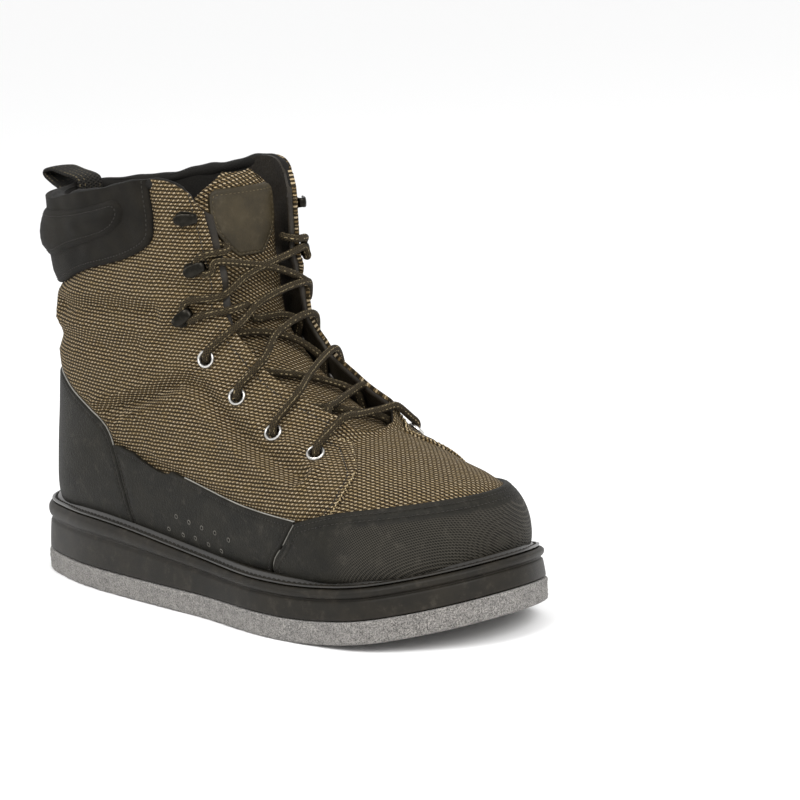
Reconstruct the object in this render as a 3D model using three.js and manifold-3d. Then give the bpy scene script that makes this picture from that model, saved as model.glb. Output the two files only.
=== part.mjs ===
// Wading boot for the right foot, standing empty on its felt sole.
// Millimetres. +X points to the toe, +Y to the inner side of the foot, +Z up.
// The origin lies on the flat underside of the felt, halfway along the sole.

import * as THREE from 'three';
import { mergeVertices } from 'three/addons/utils/BufferGeometryUtils.js';
import Module from 'manifold-3d';

const wasm = await Module();
wasm.setup();

// Driving dimensions of the last and the sole
const soleLength = 318;
const ballWidth = 117;
const heelHeight = 36;
const forefootHeight = 26;
const instepHeight = 134;
const collarHeight = 199;
const toeSpring = 13.8;
const collarTilt = 0.05;

// Thicknesses
const feltThickness = 11;
const wallThickness = 2.2;
const collarPadding = 4;
const panelThickness = 1.5;
const cuffThickness = 2;
const padThickness = 2.5;
const insoleThickness = 4.5;
const tongueThickness = 5;
const tongueMargin = 11;
const tongueDrop = 5;
const flapCurl = 9;
const curlWidth = 20;
const patchThickness = 1.4;
const patchHalf = 24;
const weltHeight = 3;
const weltInset = 2.4;

// Lace, eyelets and hooks
const laceDiameter = 3.8;
const laceSag = 4;
const eyeletDiameter = 10;
const eyeletBore = 4.8;
const eyeletSheet = 0.6;
const hookWidth = 7;
const hookSheet = 1.4;

// Pull loop
const loopWidth = 16;
const loopSheet = 2;
const loopRise = 8;
const loopReach = 13;
const loopSag = 1.6;

// Clearances
const gap = 0.3;
const tongueClearance = 0.8;
const flangeClearance = 1.6;
const hookClearance = 0.5;
const laceClearance = 0.8;

// How finely the curved faces are cut
const sectionCount = 22;
const aroundCount = 24;
const outlineSteps = 2;

const degrees = Math.PI / 180;
const clamp = (value, low, high) => Math.min(high, Math.max(low, value));
const smooth = (value) => value * value * (3 - 2 * value);

// Turns a header and rows of numbers into a list of named records.
function table(columns, rows) {
  return rows.map((row) => Object.fromEntries(columns.map((column, index) => [column, row[index]])));
}

// Reads a table between its rows with a smooth curve; place counts rows from 0.
function readTable(rows, place, before = rows[0], after = rows[rows.length - 1]) {
  const last = rows.length - 1;
  const row = clamp(Math.floor(place), 0, last - 1);
  const t = place - row;
  const pick = (index) => (index < 0 ? before : index > last ? after : rows[index]);
  const [a, b, c, d] = [pick(row - 1), pick(row), pick(row + 1), pick(row + 2)];
  const value = {};
  for (const key of Object.keys(b)) {
    const slopeIn = (c[key] - a[key]) / 2;
    const slopeOut = (d[key] - b[key]) / 2;
    const rise = c[key] - b[key];
    const cubic = slopeIn + slopeOut - 2 * rise;
    const square = 3 * rise - 2 * slopeIn - slopeOut;
    value[key] = b[key] + t * (slopeIn + t * (square + t * cubic));
  }
  return value;
}

// Evenly spaced values.
function spread(from, to, count) {
  return Array.from({ length: count + 1 }, (unused, index) => from + ((to - from) * index) / count);
}

// Places along the sole and heights above it
const alongSole = (share) => (share - 0.5) * soleLength;
const shareOf = (x) => x / soleLength + 0.5;
const springStart = 0.7;

// Height of the felt's underside above the floor.
function soleLift(x) {
  const share = clamp((shareOf(x) - springStart) / (1 - springStart), 0, 1.1);
  return toeSpring * share * share;
}

// Height of the sole's top, where the upper stands on it.
function seatHeight(x) {
  const toBall = smooth(clamp((shareOf(x) - 0.2) / 0.45, 0, 1));
  return heelHeight + (forefootHeight - heelHeight) * toBall + soleLift(x);
}

// Height above the seat: 0 at the seat, 1 at the instep, 2 at the collar.
function riseOf(share) {
  const low = instepHeight - heelHeight;
  const high = collarHeight - instepHeight;
  return share < 1 ? share * low : low + (share - 1) * high;
}

// Sole outline: half widths to the outer and inner side as shares of the ball width
const soleOutline = table(
  ['along', 'outer', 'inner'],
  [
    [0.0, 0.0, 0.0],
    [0.012, 0.135, 0.135],
    [0.05, 0.252, 0.277],
    [0.12, 0.33, 0.352],
    [0.22, 0.393, 0.361],
    [0.38, 0.432, 0.336],
    [0.52, 0.458, 0.386],
    [0.66, 0.509, 0.479],
    [0.78, 0.497, 0.503],
    [0.87, 0.45, 0.477],
    [0.94, 0.31, 0.396],
    [0.985, 0.149, 0.226],
    [1.0, -0.05, 0.05],
  ],
);

// The last: each row is a section through a point at the back or bottom and one at the front or top.
// Places are shares of the sole length, rises follow riseOf, and widths are shares of the ball width.
const lastRows = table(
  ['backX', 'backRise', 'frontX', 'frontRise', 'outer', 'inner', 'widest', 'lowPower', 'highPower', 'ridge'],
  [
    [0.966, 0.09, 0.966, 0.09, -0.05, 0.05, 0.45, 2.2, 2.0, 0],
    [0.957, -0.03, 0.955, 0.235, 0.115, 0.215, 0.42, 2.4, 2.0, 0],
    [0.93, -0.06, 0.923, 0.367, 0.255, 0.325, 0.4, 2.7, 2.1, 0.01],
    [0.885, -0.06, 0.872, 0.455, 0.37, 0.4, 0.38, 3.0, 2.1, 0.02],
    [0.815, -0.06, 0.795, 0.57, 0.44, 0.43, 0.35, 3.2, 2.1, 0.03],
    [0.73, -0.06, 0.71, 0.67, 0.45, 0.43, 0.33, 3.4, 2.15, 0.04],
    [0.63, -0.06, 0.63, 0.795, 0.43, 0.385, 0.33, 3.6, 2.2, 0.04],
    [0.52, -0.06, 0.56, 0.95, 0.405, 0.345, 0.33, 4.0, 2.25, 0.04],
    [0.393, -0.07, 0.518, 1.16, 0.385, 0.33, 0.38, 4.4, 2.4, 0.03],
    [0.267, -0.08, 0.508, 1.31, 0.37, 0.335, 0.45, 4.4, 2.5, 0.02],
    [0.126, -0.08, 0.505, 1.42, 0.355, 0.345, 0.52, 3.4, 2.8, 0.01],
    [0.052, -0.04, 0.505, 1.5, 0.355, 0.355, 0.54, 2.5, 3.0, 0],
    [0.042, 0.18, 0.509, 1.58, 0.355, 0.355, 0.54, 2.2, 3.1, 0],
    [0.057, 0.48, 0.508, 1.66, 0.355, 0.355, 0.53, 2.2, 3.1, 0],
    [0.078, 0.84, 0.506, 1.75, 0.36, 0.355, 0.52, 2.3, 3.1, 0],
    [0.085, 1.27, 0.505, 1.86, 0.36, 0.355, 0.52, 2.3, 3.1, 0],
    [0.077, 1.78, 0.503, 1.98, 0.36, 0.355, 0.52, 2.3, 3.1, 0],
    [0.07, 2.2, 0.5, 2.17, 0.36, 0.355, 0.52, 2.3, 3.1, 0],
    [0.067, 2.45, 0.49, 2.42, 0.36, 0.355, 0.52, 2.3, 3.1, 0],
  ],
).map(({ backX, frontX, outer, inner, ridge, ...rest }) => ({
  ...rest,
  backX: alongSole(backX),
  frontX: alongSole(frontX),
  half: ((outer + inner) / 2) * ballWidth,
  centre: ((inner - outer) / 2) * ballWidth,
  ridge: ridge * ballWidth,
}));
const topRow = lastRows.length - 1;

// Before the tip the sections mirror, so that the toe closes as a round nose.
const [tipRow, toeRow] = lastRows;
const mirroredToe = {
  ...toeRow,
  backX: toeRow.frontX,
  backRise: toeRow.frontRise,
  frontX: toeRow.backX,
  frontRise: toeRow.backRise,
  half: -toeRow.half,
};

// A point of the last; angle -90 is the back or bottom, 90 the front or top, and the
// outer side lies between them. Past 90 it goes down the inner side.
function lastPoint(place, angle) {
  const row = readTable(lastRows, place, mirroredToe);
  const backZ = seatHeight(row.backX) + riseOf(row.backRise);
  const frontZ = seatHeight(row.frontX) + riseOf(row.frontRise);
  const sine = Math.sin(angle * degrees);
  const cosine = Math.cos(angle * degrees);
  const power = 2 / (sine < 0 ? row.lowPower : row.highPower);
  const reach = Math.sign(sine) * Math.abs(sine) ** power;
  const along = sine < 0 ? row.widest * (1 + reach) : row.widest + (1 - row.widest) * reach;
  const width = Math.sign(cosine) * Math.abs(cosine) ** power;
  const ridge = sine > 0 ? row.ridge * sine * sine : 0;
  return new THREE.Vector3(
    row.backX + (row.frontX - row.backX) * along,
    row.centre + ridge - width * row.half,
    backZ + (frontZ - backZ) * along,
  );
}

// The outward direction of the last's face.
function lastNormal(place, angle) {
  const step = 0.02;
  const low = Math.max(place - step, 0.004);
  const high = Math.max(place + step, low + step);
  const alongFoot = lastPoint(high, angle).sub(lastPoint(low, angle));
  const around = lastPoint(Math.max(place, 0.01), angle + 1).sub(lastPoint(Math.max(place, 0.01), angle - 1));
  return around.cross(alongFoot).normalize();
}

// A point off the last's face; offset is a number or a function of the place and angle.
function offLast(place, angle, offset) {
  const distance = typeof offset === 'function' ? offset(place, angle) : offset;
  return lastPoint(place, angle).addScaledVector(lastNormal(place, angle), distance);
}

// How far the flaps stand off the last beside the throat, less up the shaft.
function curlAt(place, angle) {
  const row = readTable(lastRows, place, mirroredToe);
  const fromMiddle = Math.abs(Math.cos(angle * degrees)) ** (2 / row.highPower) * row.half;
  const share = clamp((throatHalf(place) + curlWidth - fromMiddle) / curlWidth, 0, 1);
  const start = smooth(clamp((place - 4.5) / 0.7, 0, 1));
  const fade = 1 - 0.6 * smooth(clamp((place - 9) / 4, 0, 1));
  return Math.sin(angle * degrees) > 0 ? flapCurl * start * fade * share * share : 0;
}

// A point off the wall's outer face, which is the last with its flaps curled up.
function offWall(place, angle, offset) {
  const distance = typeof offset === 'function' ? offset(place, angle) : offset;
  return offLast(place, angle, distance + curlAt(place, angle));
}

// The angle at which the last is a given distance from its middle line, on the upper half.
function angleAt(place, distance) {
  const row = readTable(lastRows, place, mirroredToe);
  const share = clamp(distance / row.half, 0, 1);
  return Math.acos(share ** (row.highPower / 2)) / degrees;
}

// Makes a closed solid of indexed points and triangles, faces out.
function solidOf(points, triangles) {
  const positions = points.flatMap((point) => [point.x, point.y, point.z]);
  let volume = 0;
  for (const [a, b, c] of triangles) {
    volume += points[a].dot(points[b].clone().cross(points[c]));
  }
  const faces = volume < 0 ? triangles.map(([a, b, c]) => [a, c, b]) : triangles;
  const mesh = new wasm.Mesh({
    numProp: 3,
    vertProperties: new Float32Array(positions),
    triVerts: new Uint32Array(faces.flat()),
  });
  return new wasm.Manifold(mesh);
}

// A solid skinned over rings of equal count. Each end is closed by strips between the
// two sides of its ring, which run from the ring's first point to the one opposite.
function solidFromRings(rings) {
  const count = rings[0].length;
  const half = count / 2;
  const triangles = [];
  for (let ring = 0; ring < rings.length - 1; ring += 1) {
    for (let index = 0; index < count; index += 1) {
      const [a, b] = [ring * count + index, ring * count + ((index + 1) % count)];
      triangles.push([a, b, b + count], [a, b + count, a + count]);
    }
  }
  const close = (start, flip) => {
    for (let index = 0; index < half; index += 1) {
      const [a, b] = [start + index, start + index + 1];
      const [c, d] = [start + ((count - index - 1) % count), start + ((count - index) % count)];
      const strips = [];
      if (index > 0) strips.push([a, b, d]);
      if (index < half - 1) strips.push(index > 0 ? [b, c, d] : [a, b, c]);
      strips.forEach(([first, second, third]) => {
        triangles.push(flip ? [first, second, third] : [first, third, second]);
      });
    }
  };
  close(0, false);
  close((rings.length - 1) * count, true);
  return solidOf(rings.flat(), triangles);
}

// A curved slab between two grids of equal size.
function solidFromGrids(outside, inside) {
  const [rows, columns] = [outside.length, outside[0].length];
  const points = [...outside.flat(), ...inside.flat()];
  const size = rows * columns;
  const triangles = [];
  const quad = (a, b, c, d) => triangles.push([a, b, c], [a, c, d]);
  for (let row = 0; row < rows - 1; row += 1) {
    for (let column = 0; column < columns - 1; column += 1) {
      const a = row * columns + column;
      quad(a, a + 1, a + columns + 1, a + columns);
      quad(size + a + columns, size + a + columns + 1, size + a + 1, size + a);
    }
  }
  const border = [];
  for (let column = 0; column < columns - 1; column += 1) border.push(column);
  for (let row = 0; row < rows - 1; row += 1) border.push(row * columns + columns - 1);
  for (let column = columns - 1; column > 0; column -= 1) border.push((rows - 1) * columns + column);
  for (let row = rows - 1; row > 0; row -= 1) border.push(row * columns);
  border.forEach((a, index) => {
    const b = border[(index + 1) % border.length];
    quad(b, a, size + a, size + b);
  });
  return solidOf(points, triangles);
}

// Turns a three.js geometry into a solid.
function solidFromGeometry(geometry) {
  const bare = geometry.index ? geometry.toNonIndexed() : geometry.clone();
  bare.deleteAttribute('normal');
  bare.deleteAttribute('uv');
  const merged = mergeVertices(bare, 1e-4);
  const mesh = new wasm.Mesh({
    numProp: 3,
    vertProperties: new Float32Array(merged.attributes.position.array),
    triVerts: new Uint32Array(merged.index.array),
  });
  return new wasm.Manifold(mesh);
}

// A block whose side view is a closed outline of [x, z] points, from y low to y high.
function sideBlock(outline, low, high, warp = new THREE.Matrix4()) {
  const shape = new THREE.Shape(outline.map(([x, z]) => new THREE.Vector2(x, z)));
  const geometry = new THREE.ExtrudeGeometry(shape, { depth: high - low, bevelEnabled: false });
  geometry.rotateX(Math.PI / 2);
  geometry.translate(0, high, 0);
  return solidFromGeometry(geometry.applyMatrix4(warp));
}

// Samples a smooth curve through side view points.
function curveThrough(points, pieces = 3) {
  const curve = new THREE.CatmullRomCurve3(points.map(([x, z]) => new THREE.Vector3(x, 0, z)), false, 'centripetal');
  return curve.getPoints((points.length - 1) * pieces).map((point) => [point.x, point.z]);
}

// Section places from the toe to above the collar, closer together round the toe.
function sectionPlaces() {
  const places = [];
  for (let index = 0; index <= sectionCount; index += 1) {
    const share = index / sectionCount;
    places.push(0.03 + (topRow - 0.03) * share ** 1.08);
  }
  return places;
}

// The whole last as a closed solid, grown or shrunk by an offset.
function lastSolid(offset) {
  const rings = sectionPlaces().map((place) => {
    const ring = [];
    for (let index = 0; index < aroundCount; index += 1) {
      ring.push(offWall(place, -90 + (index * 360) / aroundCount, offset));
    }
    return ring;
  });
  return solidFromRings(rings);
}

// Everything above the seat, and everything below the collar's edge
const wide = soleLength;
const seatEdge = spread(-0.05, 1.05, 18).map((share) => [alongSole(share), seatHeight(alongSole(share))]);

// The part of space above the seat by a lift.
function aboveSeat(lift, height = 3 * collarHeight) {
  const edge = seatEdge.map(([x, z]) => [x, z + lift]);
  return sideBlock([...edge, [edge.at(-1)[0], height], [edge[0][0], height]], -wide, wide);
}

// The collar's top edge in side view, back to front, as shares of the sole length and rises
const collarEdge = table(
  ['along', 'rise'],
  [
    [-0.1, 2.0],
    [0.03, 2.0],
    [0.157, 2.0],
    [0.23, 2.06],
    [0.314, 2.12],
    [0.393, 2.19],
    [0.44, 2.18],
    [0.472, 2.09],
    [0.494, 1.94],
    [0.6, 1.5],
  ],
).map(({ along, rise }) => [alongSole(along), heelHeight + riseOf(rise)]);

// The part of space below the collar's edge, which rises a little towards the inner side.
function belowCollar() {
  const edge = curveThrough(collarEdge);
  const outline = [[edge[0][0], -wide], [wide, -wide], [wide, edge.at(-1)[1]], ...edge.reverse()];
  const tilt = new THREE.Matrix4().set(1, 0, 0, 0, 0, 1, 0, 0, 0, collarTilt, 1, 0, 0, 0, 0, 1);
  return sideBlock(outline, -wide, wide, tilt);
}

// The throat: half the opening between the flaps, as a share of the ball width, by section
const throat = table(
  ['place', 'opening'],
  [
    [4.7, 0.02],
    [4.8, 0.1],
    [5.2, 0.15],
    [6.2, 0.165],
    [7.4, 0.17],
    [8.4, 0.18],
    [10, 0.2],
    [13, 0.205],
    [16, 0.23],
    [topRow, 0.25],
  ],
);

// Half the throat's opening in millimetres at a section.
function throatHalf(place) {
  const index = clamp(throat.findIndex((row) => row.place > place), 1, throat.length - 1);
  const [low, high] = [throat[index - 1], throat[index]];
  const share = clamp((place - low.place) / (high.place - low.place), 0, 1);
  return (low.opening + (high.opening - low.opening) * share) * ballWidth;
}

// A curved slab across the top of the last, half as wide as asked, between two offsets.
function ridgeSlab(places, halfAt, low, high, columns) {
  const grid = (offset) =>
    places.map((place) => {
      const row = [];
      const edge = angleAt(place, halfAt(place));
      for (let column = 0; column <= columns; column += 1) {
        row.push(offLast(place, edge + ((180 - 2 * edge) * column) / columns, offset));
      }
      return row;
    });
  return solidFromGrids(grid(high), grid(low));
}

// The inside of the wall: thin in the foot and at the flaps, padded round the collar's back.
function liningOffset(place, angle) {
  const up = smooth(clamp((place - 13) / 3, 0, 1));
  const fold = angle > 90 ? 180 - angle : angle;
  const back = smooth(clamp((25 - fold) / 50, 0, 1));
  return -wallThickness - collarPadding * up * back;
}

// Fastenings from the toe up: the section, the distance from the flap's edge, and the kind
const fastenings = table(
  ['place', 'setback', 'isHook'],
  [
    [5, 17.5, 0],
    [5.95, 14, 0],
    [7, 10.8, 0],
    [8.2, 10, 0],
    [10.8, 10.5, 1],
    [13.55, 6.5, 1],
    [16.1, 5, 1],
  ],
);
const sides = [
  ['outer', (angle) => angle],
  ['inner', (angle) => 180 - angle],
];

// Local axes on the last: x away from the throat, y off the face.
function seatOn(place, angle, lift) {
  const away = offWall(place, angle + (angle > 90 ? 1 : -1), 0).sub(offWall(place, angle, 0)).normalize();
  const off = away.clone().cross(offWall(place + 0.05, angle, 0).sub(offWall(place - 0.05, angle, 0))).normalize();
  off.multiplyScalar(Math.sign(off.dot(lastNormal(place, angle))));
  const frame = new THREE.Matrix4().makeBasis(away, off, away.clone().cross(off));
  return frame.setPosition(offWall(place, angle, lift));
}

// The angle of a fastening on one side.
function fasteningAngle({ place, setback }, turn) {
  return turn(angleAt(place, throatHalf(place) + setback));
}

// The finished pieces: name, solid and material
const pieces = [];
const addPiece = (name, solid, material) => pieces.push({ name, solid, material });

// The upper
const barrelRadius = eyeletBore / 2 + eyeletSheet;
const holeGeometry = new THREE.CylinderGeometry(barrelRadius + gap, barrelRadius + gap, 6 * wallThickness, 8);
const outerForm = lastSolid(0);
const innerForm = lastSolid(liningOffset);
const insideWall = lastSolid((place, angle) => liningOffset(place, angle) - gap);
const throatPlaces = [...throat.slice(0, 3).map((row) => row.place), ...spread(5.6, topRow, 10)];
const throatForm = ridgeSlab(throatPlaces, throatHalf, -wallThickness - tongueThickness, flapCurl + wallThickness, 6);
let upperForm = outerForm
  .subtract(innerForm)
  .subtract(throatForm)
  .intersect(aboveSeat(gap))
  .intersect(belowCollar());
for (const row of fastenings.filter(({ isHook }) => !isHook)) {
  for (const [, turn] of sides) {
    const hole = holeGeometry.clone().applyMatrix4(seatOn(row.place, fasteningAngle(row, turn), 0));
    upperForm = upperForm.subtract(solidFromGeometry(hole));
  }
}
addPiece('upper', upperForm, 'cloth');

// Seams in side view: shares of the sole length, and heights above the heel seat by riseOf
const seam = (rows) =>
  curveThrough(table(['along', 'rise'], rows).map(({ along, rise }) => [alongSole(along), heelHeight + riseOf(rise)]));
const counterTop = seam([
  [-0.1, 0.76],
  [0.1, 0.735],
  [0.182, 0.643],
  [0.261, 0.52],
  [0.283, 0.43],
]);
const counterFront = seam([
  [0.283, 0.43],
  [0.306, 0.245],
  [0.322, 0.05],
  [0.345, -0.5],
]);
const randTop = seam([
  [0.283, 0.43],
  [0.34, 0.388],
  [0.48, 0.306],
  [0.604, 0.235],
  [0.733, 0.204],
]);
const capSide = seam([
  [0.733, 0.204],
  [0.71, 0.09],
  [0.673, -0.06],
  [0.62, -0.5],
]);
const capTop = seam([
  [0.733, 0.204],
  [0.8, 0.262],
  [0.874, 0.293],
  [0.94, 0.315],
  [1.05, 0.33],
]);
const cuffFront = seam([
  [0.4, 2.5],
  [0.406, 2.12],
  [0.412, 1.86],
  [0.403, 1.69],
  [0.346, 1.56],
  [0.245, 1.446],
  [0.154, 1.31],
  [0.05, 1.24],
  [-0.1, 1.22],
]);
const padEdge = seam([
  [-0.1, 1.86],
  [0.176, 1.89],
  [0.289, 1.96],
  [0.345, 2.01],
  [0.36, 1.9],
  [0.327, 1.74],
  [0.226, 1.615],
  [0.13, 1.5],
  [-0.1, 1.46],
]);
const shifted = (line, by) => line.map(([x, z]) => [x + by, z]);

// A skin that follows the last, between two offsets.
const skinOf = (low, high) => lastSolid(high).subtract(lastSolid(low));

// An overlay on a skin: what lies inside a side view outline and above the seat.
const overlay = (skin, outline) => skin.intersect(sideBlock(outline, -wide, wide)).intersect(aboveSeat(gap));

// The toe cap, the side rands and the heel counter, of one sheet with narrow gaps between them
const panelSkin = skinOf(gap, gap + panelThickness);
const toCounter = [...counterTop, ...counterFront.slice(1), [alongSole(-0.1), -wide]];
const toRand = [...shifted(counterFront, gap).reverse(), ...randTop.slice(1), ...capSide.slice(1)];
const toCap = [...shifted(capSide, gap).reverse(), ...capTop.slice(1), [alongSole(1.05), -wide]];
addPiece('heel_counter', overlay(panelSkin, toCounter), 'panel');
addPiece('toe_cap', overlay(panelSkin, toCap), 'panel');
const randForm = overlay(panelSkin, toRand);
addPiece('side_rand_outer', randForm.trimByPlane([0, -1, 0], 0), 'panel');
addPiece('side_rand_inner', randForm.trimByPlane([0, 1, 0], 0), 'panel');

// The cuff round the collar's back and the padded panel on it
const padLift = gap + cuffThickness + gap;
const toCuff = [[alongSole(-0.1), 2 * collarHeight], ...cuffFront];
addPiece('collar_cuff', overlay(skinOf(gap, gap + cuffThickness), toCuff).intersect(belowCollar()), 'lining');
addPiece('collar_pad', overlay(skinOf(padLift, padLift + padThickness), padEdge), 'lining');

// The tongue under the flaps, and the patch on it
const tongueFace = (place) => -wallThickness - tongueClearance - tongueDrop * smooth(clamp((place - 7) / 6, 0, 1));
const tongueTaper = (place) => 1 - 0.7 * smooth(clamp((place - 15) / 2, 0, 1));
const tongueHalf = (place) => throatHalf(Math.max(place, 5.2)) + tongueMargin * tongueTaper(place);
const tongueBack = (place) => tongueFace(place) - tongueThickness;
const tongueForm = ridgeSlab(spread(4.5, 17.5, 15), tongueHalf, tongueBack, tongueFace, 8);
addPiece('tongue', tongueForm.intersect(insideWall), 'cloth');
const patchPlaces = spread(13.2, 17.1, 7);
const patchShape = (place) => {
  const share = (place - patchPlaces[0]) / (patchPlaces.at(-1) - patchPlaces[0]);
  return patchHalf * (0.35 + 0.65 * Math.sin(Math.PI * clamp(share * 0.62, 0, 0.5)));
};
const patchBack = (place) => tongueFace(place) + 2 * gap;
const patchFace = (place) => patchBack(place) + patchThickness;
addPiece('tongue_patch', ridgeSlab(patchPlaces, patchShape, patchBack, patchFace, 6), 'panel');

// The insole inside the wall
const insoleForm = insideWall
  .intersect(aboveSeat(gap))
  .subtract(aboveSeat(gap + insoleThickness));
addPiece('insole', insoleForm, 'insole');

// The sole's outline as a closed loop, heel first, then the outer side, the toe and the inner side
function outlineLoop(inset) {
  const last = soleOutline.length - 1;
  const loop = [];
  const mirrored = (row) => ({ along: row.along, outer: -row.inner, inner: -row.outer });
  const read = (place) => readTable(soleOutline, place, mirrored(soleOutline[1]), mirrored(soleOutline[last - 1]));
  for (let step = 0; step <= last * outlineSteps; step += 1) {
    const row = read(step / outlineSteps);
    loop.push(new THREE.Vector2(alongSole(row.along), -row.outer * ballWidth));
  }
  for (let step = last * outlineSteps - 1; step > 0; step -= 1) {
    const row = read(step / outlineSteps);
    loop.push(new THREE.Vector2(alongSole(row.along), row.inner * ballWidth));
  }
  return loop.map((point, index) => {
    const before = loop[(index + loop.length - 1) % loop.length];
    const after = loop[(index + 1) % loop.length];
    const along = after.clone().sub(before).normalize();
    return new THREE.Vector2(point.x - along.y * inset, point.y + along.x * inset);
  });
}

// A slab of the sole: levels from the bottom up, each with a height rule and an inset.
function soleSlab(levels) {
  const rings = levels.map(({ height, inset }) =>
    outlineLoop(inset).map(({ x, y }) => new THREE.Vector3(x, y, height(x))),
  );
  return solidFromRings(rings);
}

// Felt and rubber
const feltTop = (x) => soleLift(x) + feltThickness;
const feltLevels = [
  { height: soleLift, inset: 0.8 },
  { height: (x) => soleLift(x) + 1, inset: 0 },
  { height: feltTop, inset: 0.4 },
];
addPiece('felt_outsole', soleSlab(feltLevels), 'felt');

// The rubber's side, from its bottom up: a foot, a flare, a groove and a bead
const rubberSide = table(
  ['share', 'inset'],
  [
    [0, 1.2],
    [0.05, 0.9],
    [0.6, 2.2],
    [0.66, 3],
    [0.72, 1.8],
    [0.9, 1.6],
    [1, 2.2],
  ],
);
const rubberBottom = (x) => feltTop(x) + gap;
const rubberLevels = rubberSide.map(({ share, inset }) => ({
  height: (x) => rubberBottom(x) + share * (seatHeight(x) - rubberBottom(x)),
  inset,
}));
addPiece('rubber_midsole', soleSlab(rubberLevels), 'rubber');

// The welt lies on the rubber, round the upper and its overlays
const weltForm = soleSlab([
  { height: (x) => seatHeight(x) + gap, inset: weltInset },
  { height: (x) => seatHeight(x) + gap + weltHeight, inset: weltInset + 1 },
]).subtract(lastSolid(panelThickness + 2 * gap));
addPiece('welt', weltForm, 'rubber');

// A bent sheet: a side view line given a thickness, as a flat shape.
function sheetShape(line, sheet) {
  const curve = new THREE.CatmullRomCurve3(line.map(([x, y]) => new THREE.Vector3(x, y, 0)), false, 'centripetal');
  const steps = line.length + 1;
  const left = [];
  const right = [];
  for (let step = 0; step <= steps; step += 1) {
    const point = curve.getPoint(step / steps);
    const along = curve.getTangent(step / steps);
    left.push(new THREE.Vector2(point.x - (along.y * sheet) / 2, point.y + (along.x * sheet) / 2));
    right.push(new THREE.Vector2(point.x + (along.y * sheet) / 2, point.y - (along.x * sheet) / 2));
  }
  return new THREE.Shape([...left, ...right.reverse()]);
}

// A sheet shape as a strip of a width, centred on its middle plane.
function stripGeometry(shape, width) {
  const geometry = new THREE.ExtrudeGeometry(shape, { depth: width, bevelEnabled: false, curveSegments: 2 });
  return geometry.translate(0, 0, -width / 2);
}

// The pull loop folds over the collar's back edge, from the cuff's face to the lining
const collarTop = heelHeight + riseOf(2);
const legOf = (offset, drop) => {
  const places = spread(15, topRow, 40).map((place) => offLast(place, -90, offset));
  const nearest = places.reduce((best, point) =>
    Math.abs(point.z - collarTop + drop) < Math.abs(best.z - collarTop + drop) ? point : best,
  );
  return [nearest.x, collarTop - drop];
};
const outerLeg = gap + cuffThickness + gap + loopSheet / 2;
const innerLeg = -wallThickness - collarPadding - gap - loopSag - loopSheet / 2;
const [backFace, lining] = [legOf(outerLeg, 0)[0], legOf(innerLeg, 0)[0]];
const loopLine = [
  legOf(outerLeg, 0.8 * loopRise),
  legOf(outerLeg, 0.3 * loopRise),
  [backFace - 0.5 * loopReach, collarTop + 0.1 * loopRise],
  [backFace - loopReach, collarTop + 0.7 * loopRise],
  [backFace - 0.7 * loopReach, collarTop + loopRise],
  [backFace + 0.2 * loopReach, collarTop + 0.7 * loopRise],
  [lining, collarTop + 0.3 * loopRise],
  legOf(innerLeg, loopRise),
];
const loopGeometry = stripGeometry(sheetShape(loopLine, loopSheet), loopWidth).rotateX(Math.PI / 2);
addPiece('pull_loop', solidFromGeometry(loopGeometry), 'lining');

// Eyelets and hooks
const eyeletProfile = [
  [eyeletBore / 2, -wallThickness - gap],
  [barrelRadius, -wallThickness - gap],
  [barrelRadius, flangeClearance],
  [eyeletDiameter / 2, flangeClearance],
  [eyeletDiameter / 2 - 0.6, flangeClearance + 0.9],
  [eyeletBore / 2 + 0.5, flangeClearance + 1.1],
  [eyeletBore / 2, flangeClearance + 0.6],
  [eyeletBore / 2, -wallThickness - gap],
].map(([x, y]) => new THREE.Vector2(x, y));
const eyeletGeometry = new THREE.LatheGeometry(eyeletProfile, 8);
const hookLine = [
  [4.5, 0.9],
  [-2.5, 0.9],
  [-4.6, 3],
  [-2.8, 5.4],
  [3, 5.8],
  [8.5, 7.4],
];
const hookGeometry = stripGeometry(sheetShape(hookLine, hookSheet), hookWidth);
fastenings.forEach((row, index) => {
  for (const [side, turn] of sides) {
    const geometry = row.isHook ? hookGeometry : eyeletGeometry;
    const seat = seatOn(row.place, fasteningAngle(row, turn), row.isHook ? hookClearance : gap);
    const solid = solidFromGeometry(geometry.clone().applyMatrix4(seat));
    const name = row.isHook ? `hook_${side}_${index - 3}` : `eyelet_${side}_${index + 1}`;
    addPiece(name, solid, row.isHook ? 'hook' : 'eyelet');
  }
});

// The lace: a bar between the first eyelets and a crossing between each pair above, all joined
function strand(fromPlace, toPlace) {
  const points = [];
  const start = angleAt(fromPlace, throatHalf(fromPlace));
  const end = 180 - angleAt(toPlace, throatHalf(toPlace));
  const high = laceDiameter / 2 + laceClearance;
  for (let step = 0; step <= 8; step += 1) {
    const share = step / 8;
    const place = fromPlace + (toPlace - fromPlace) * share;
    const offset = high + laceSag * (Math.abs(2 * share - 1) ** 3 - 1);
    points.push(offWall(place, start + (end - start) * share, offset));
  }
  const path = new THREE.CatmullRomCurve3(points);
  const circle = new THREE.Shape().absarc(0, 0, laceDiameter / 2, 0, 2 * Math.PI);
  const settings = { steps: 6, curveSegments: 3, extrudePath: path, bevelEnabled: false };
  return solidFromGeometry(new THREE.ExtrudeGeometry(circle, settings));
}
const laced = fastenings.slice(0, 6).map(({ place }) => place);
let lace = strand(laced[0], laced[0]);
for (let index = 0; index < laced.length - 1; index += 1) {
  lace = lace.add(strand(laced[index], laced[index + 1])).add(strand(laced[index + 1], laced[index]));
}
addPiece('lace', lace, 'lace');

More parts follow.
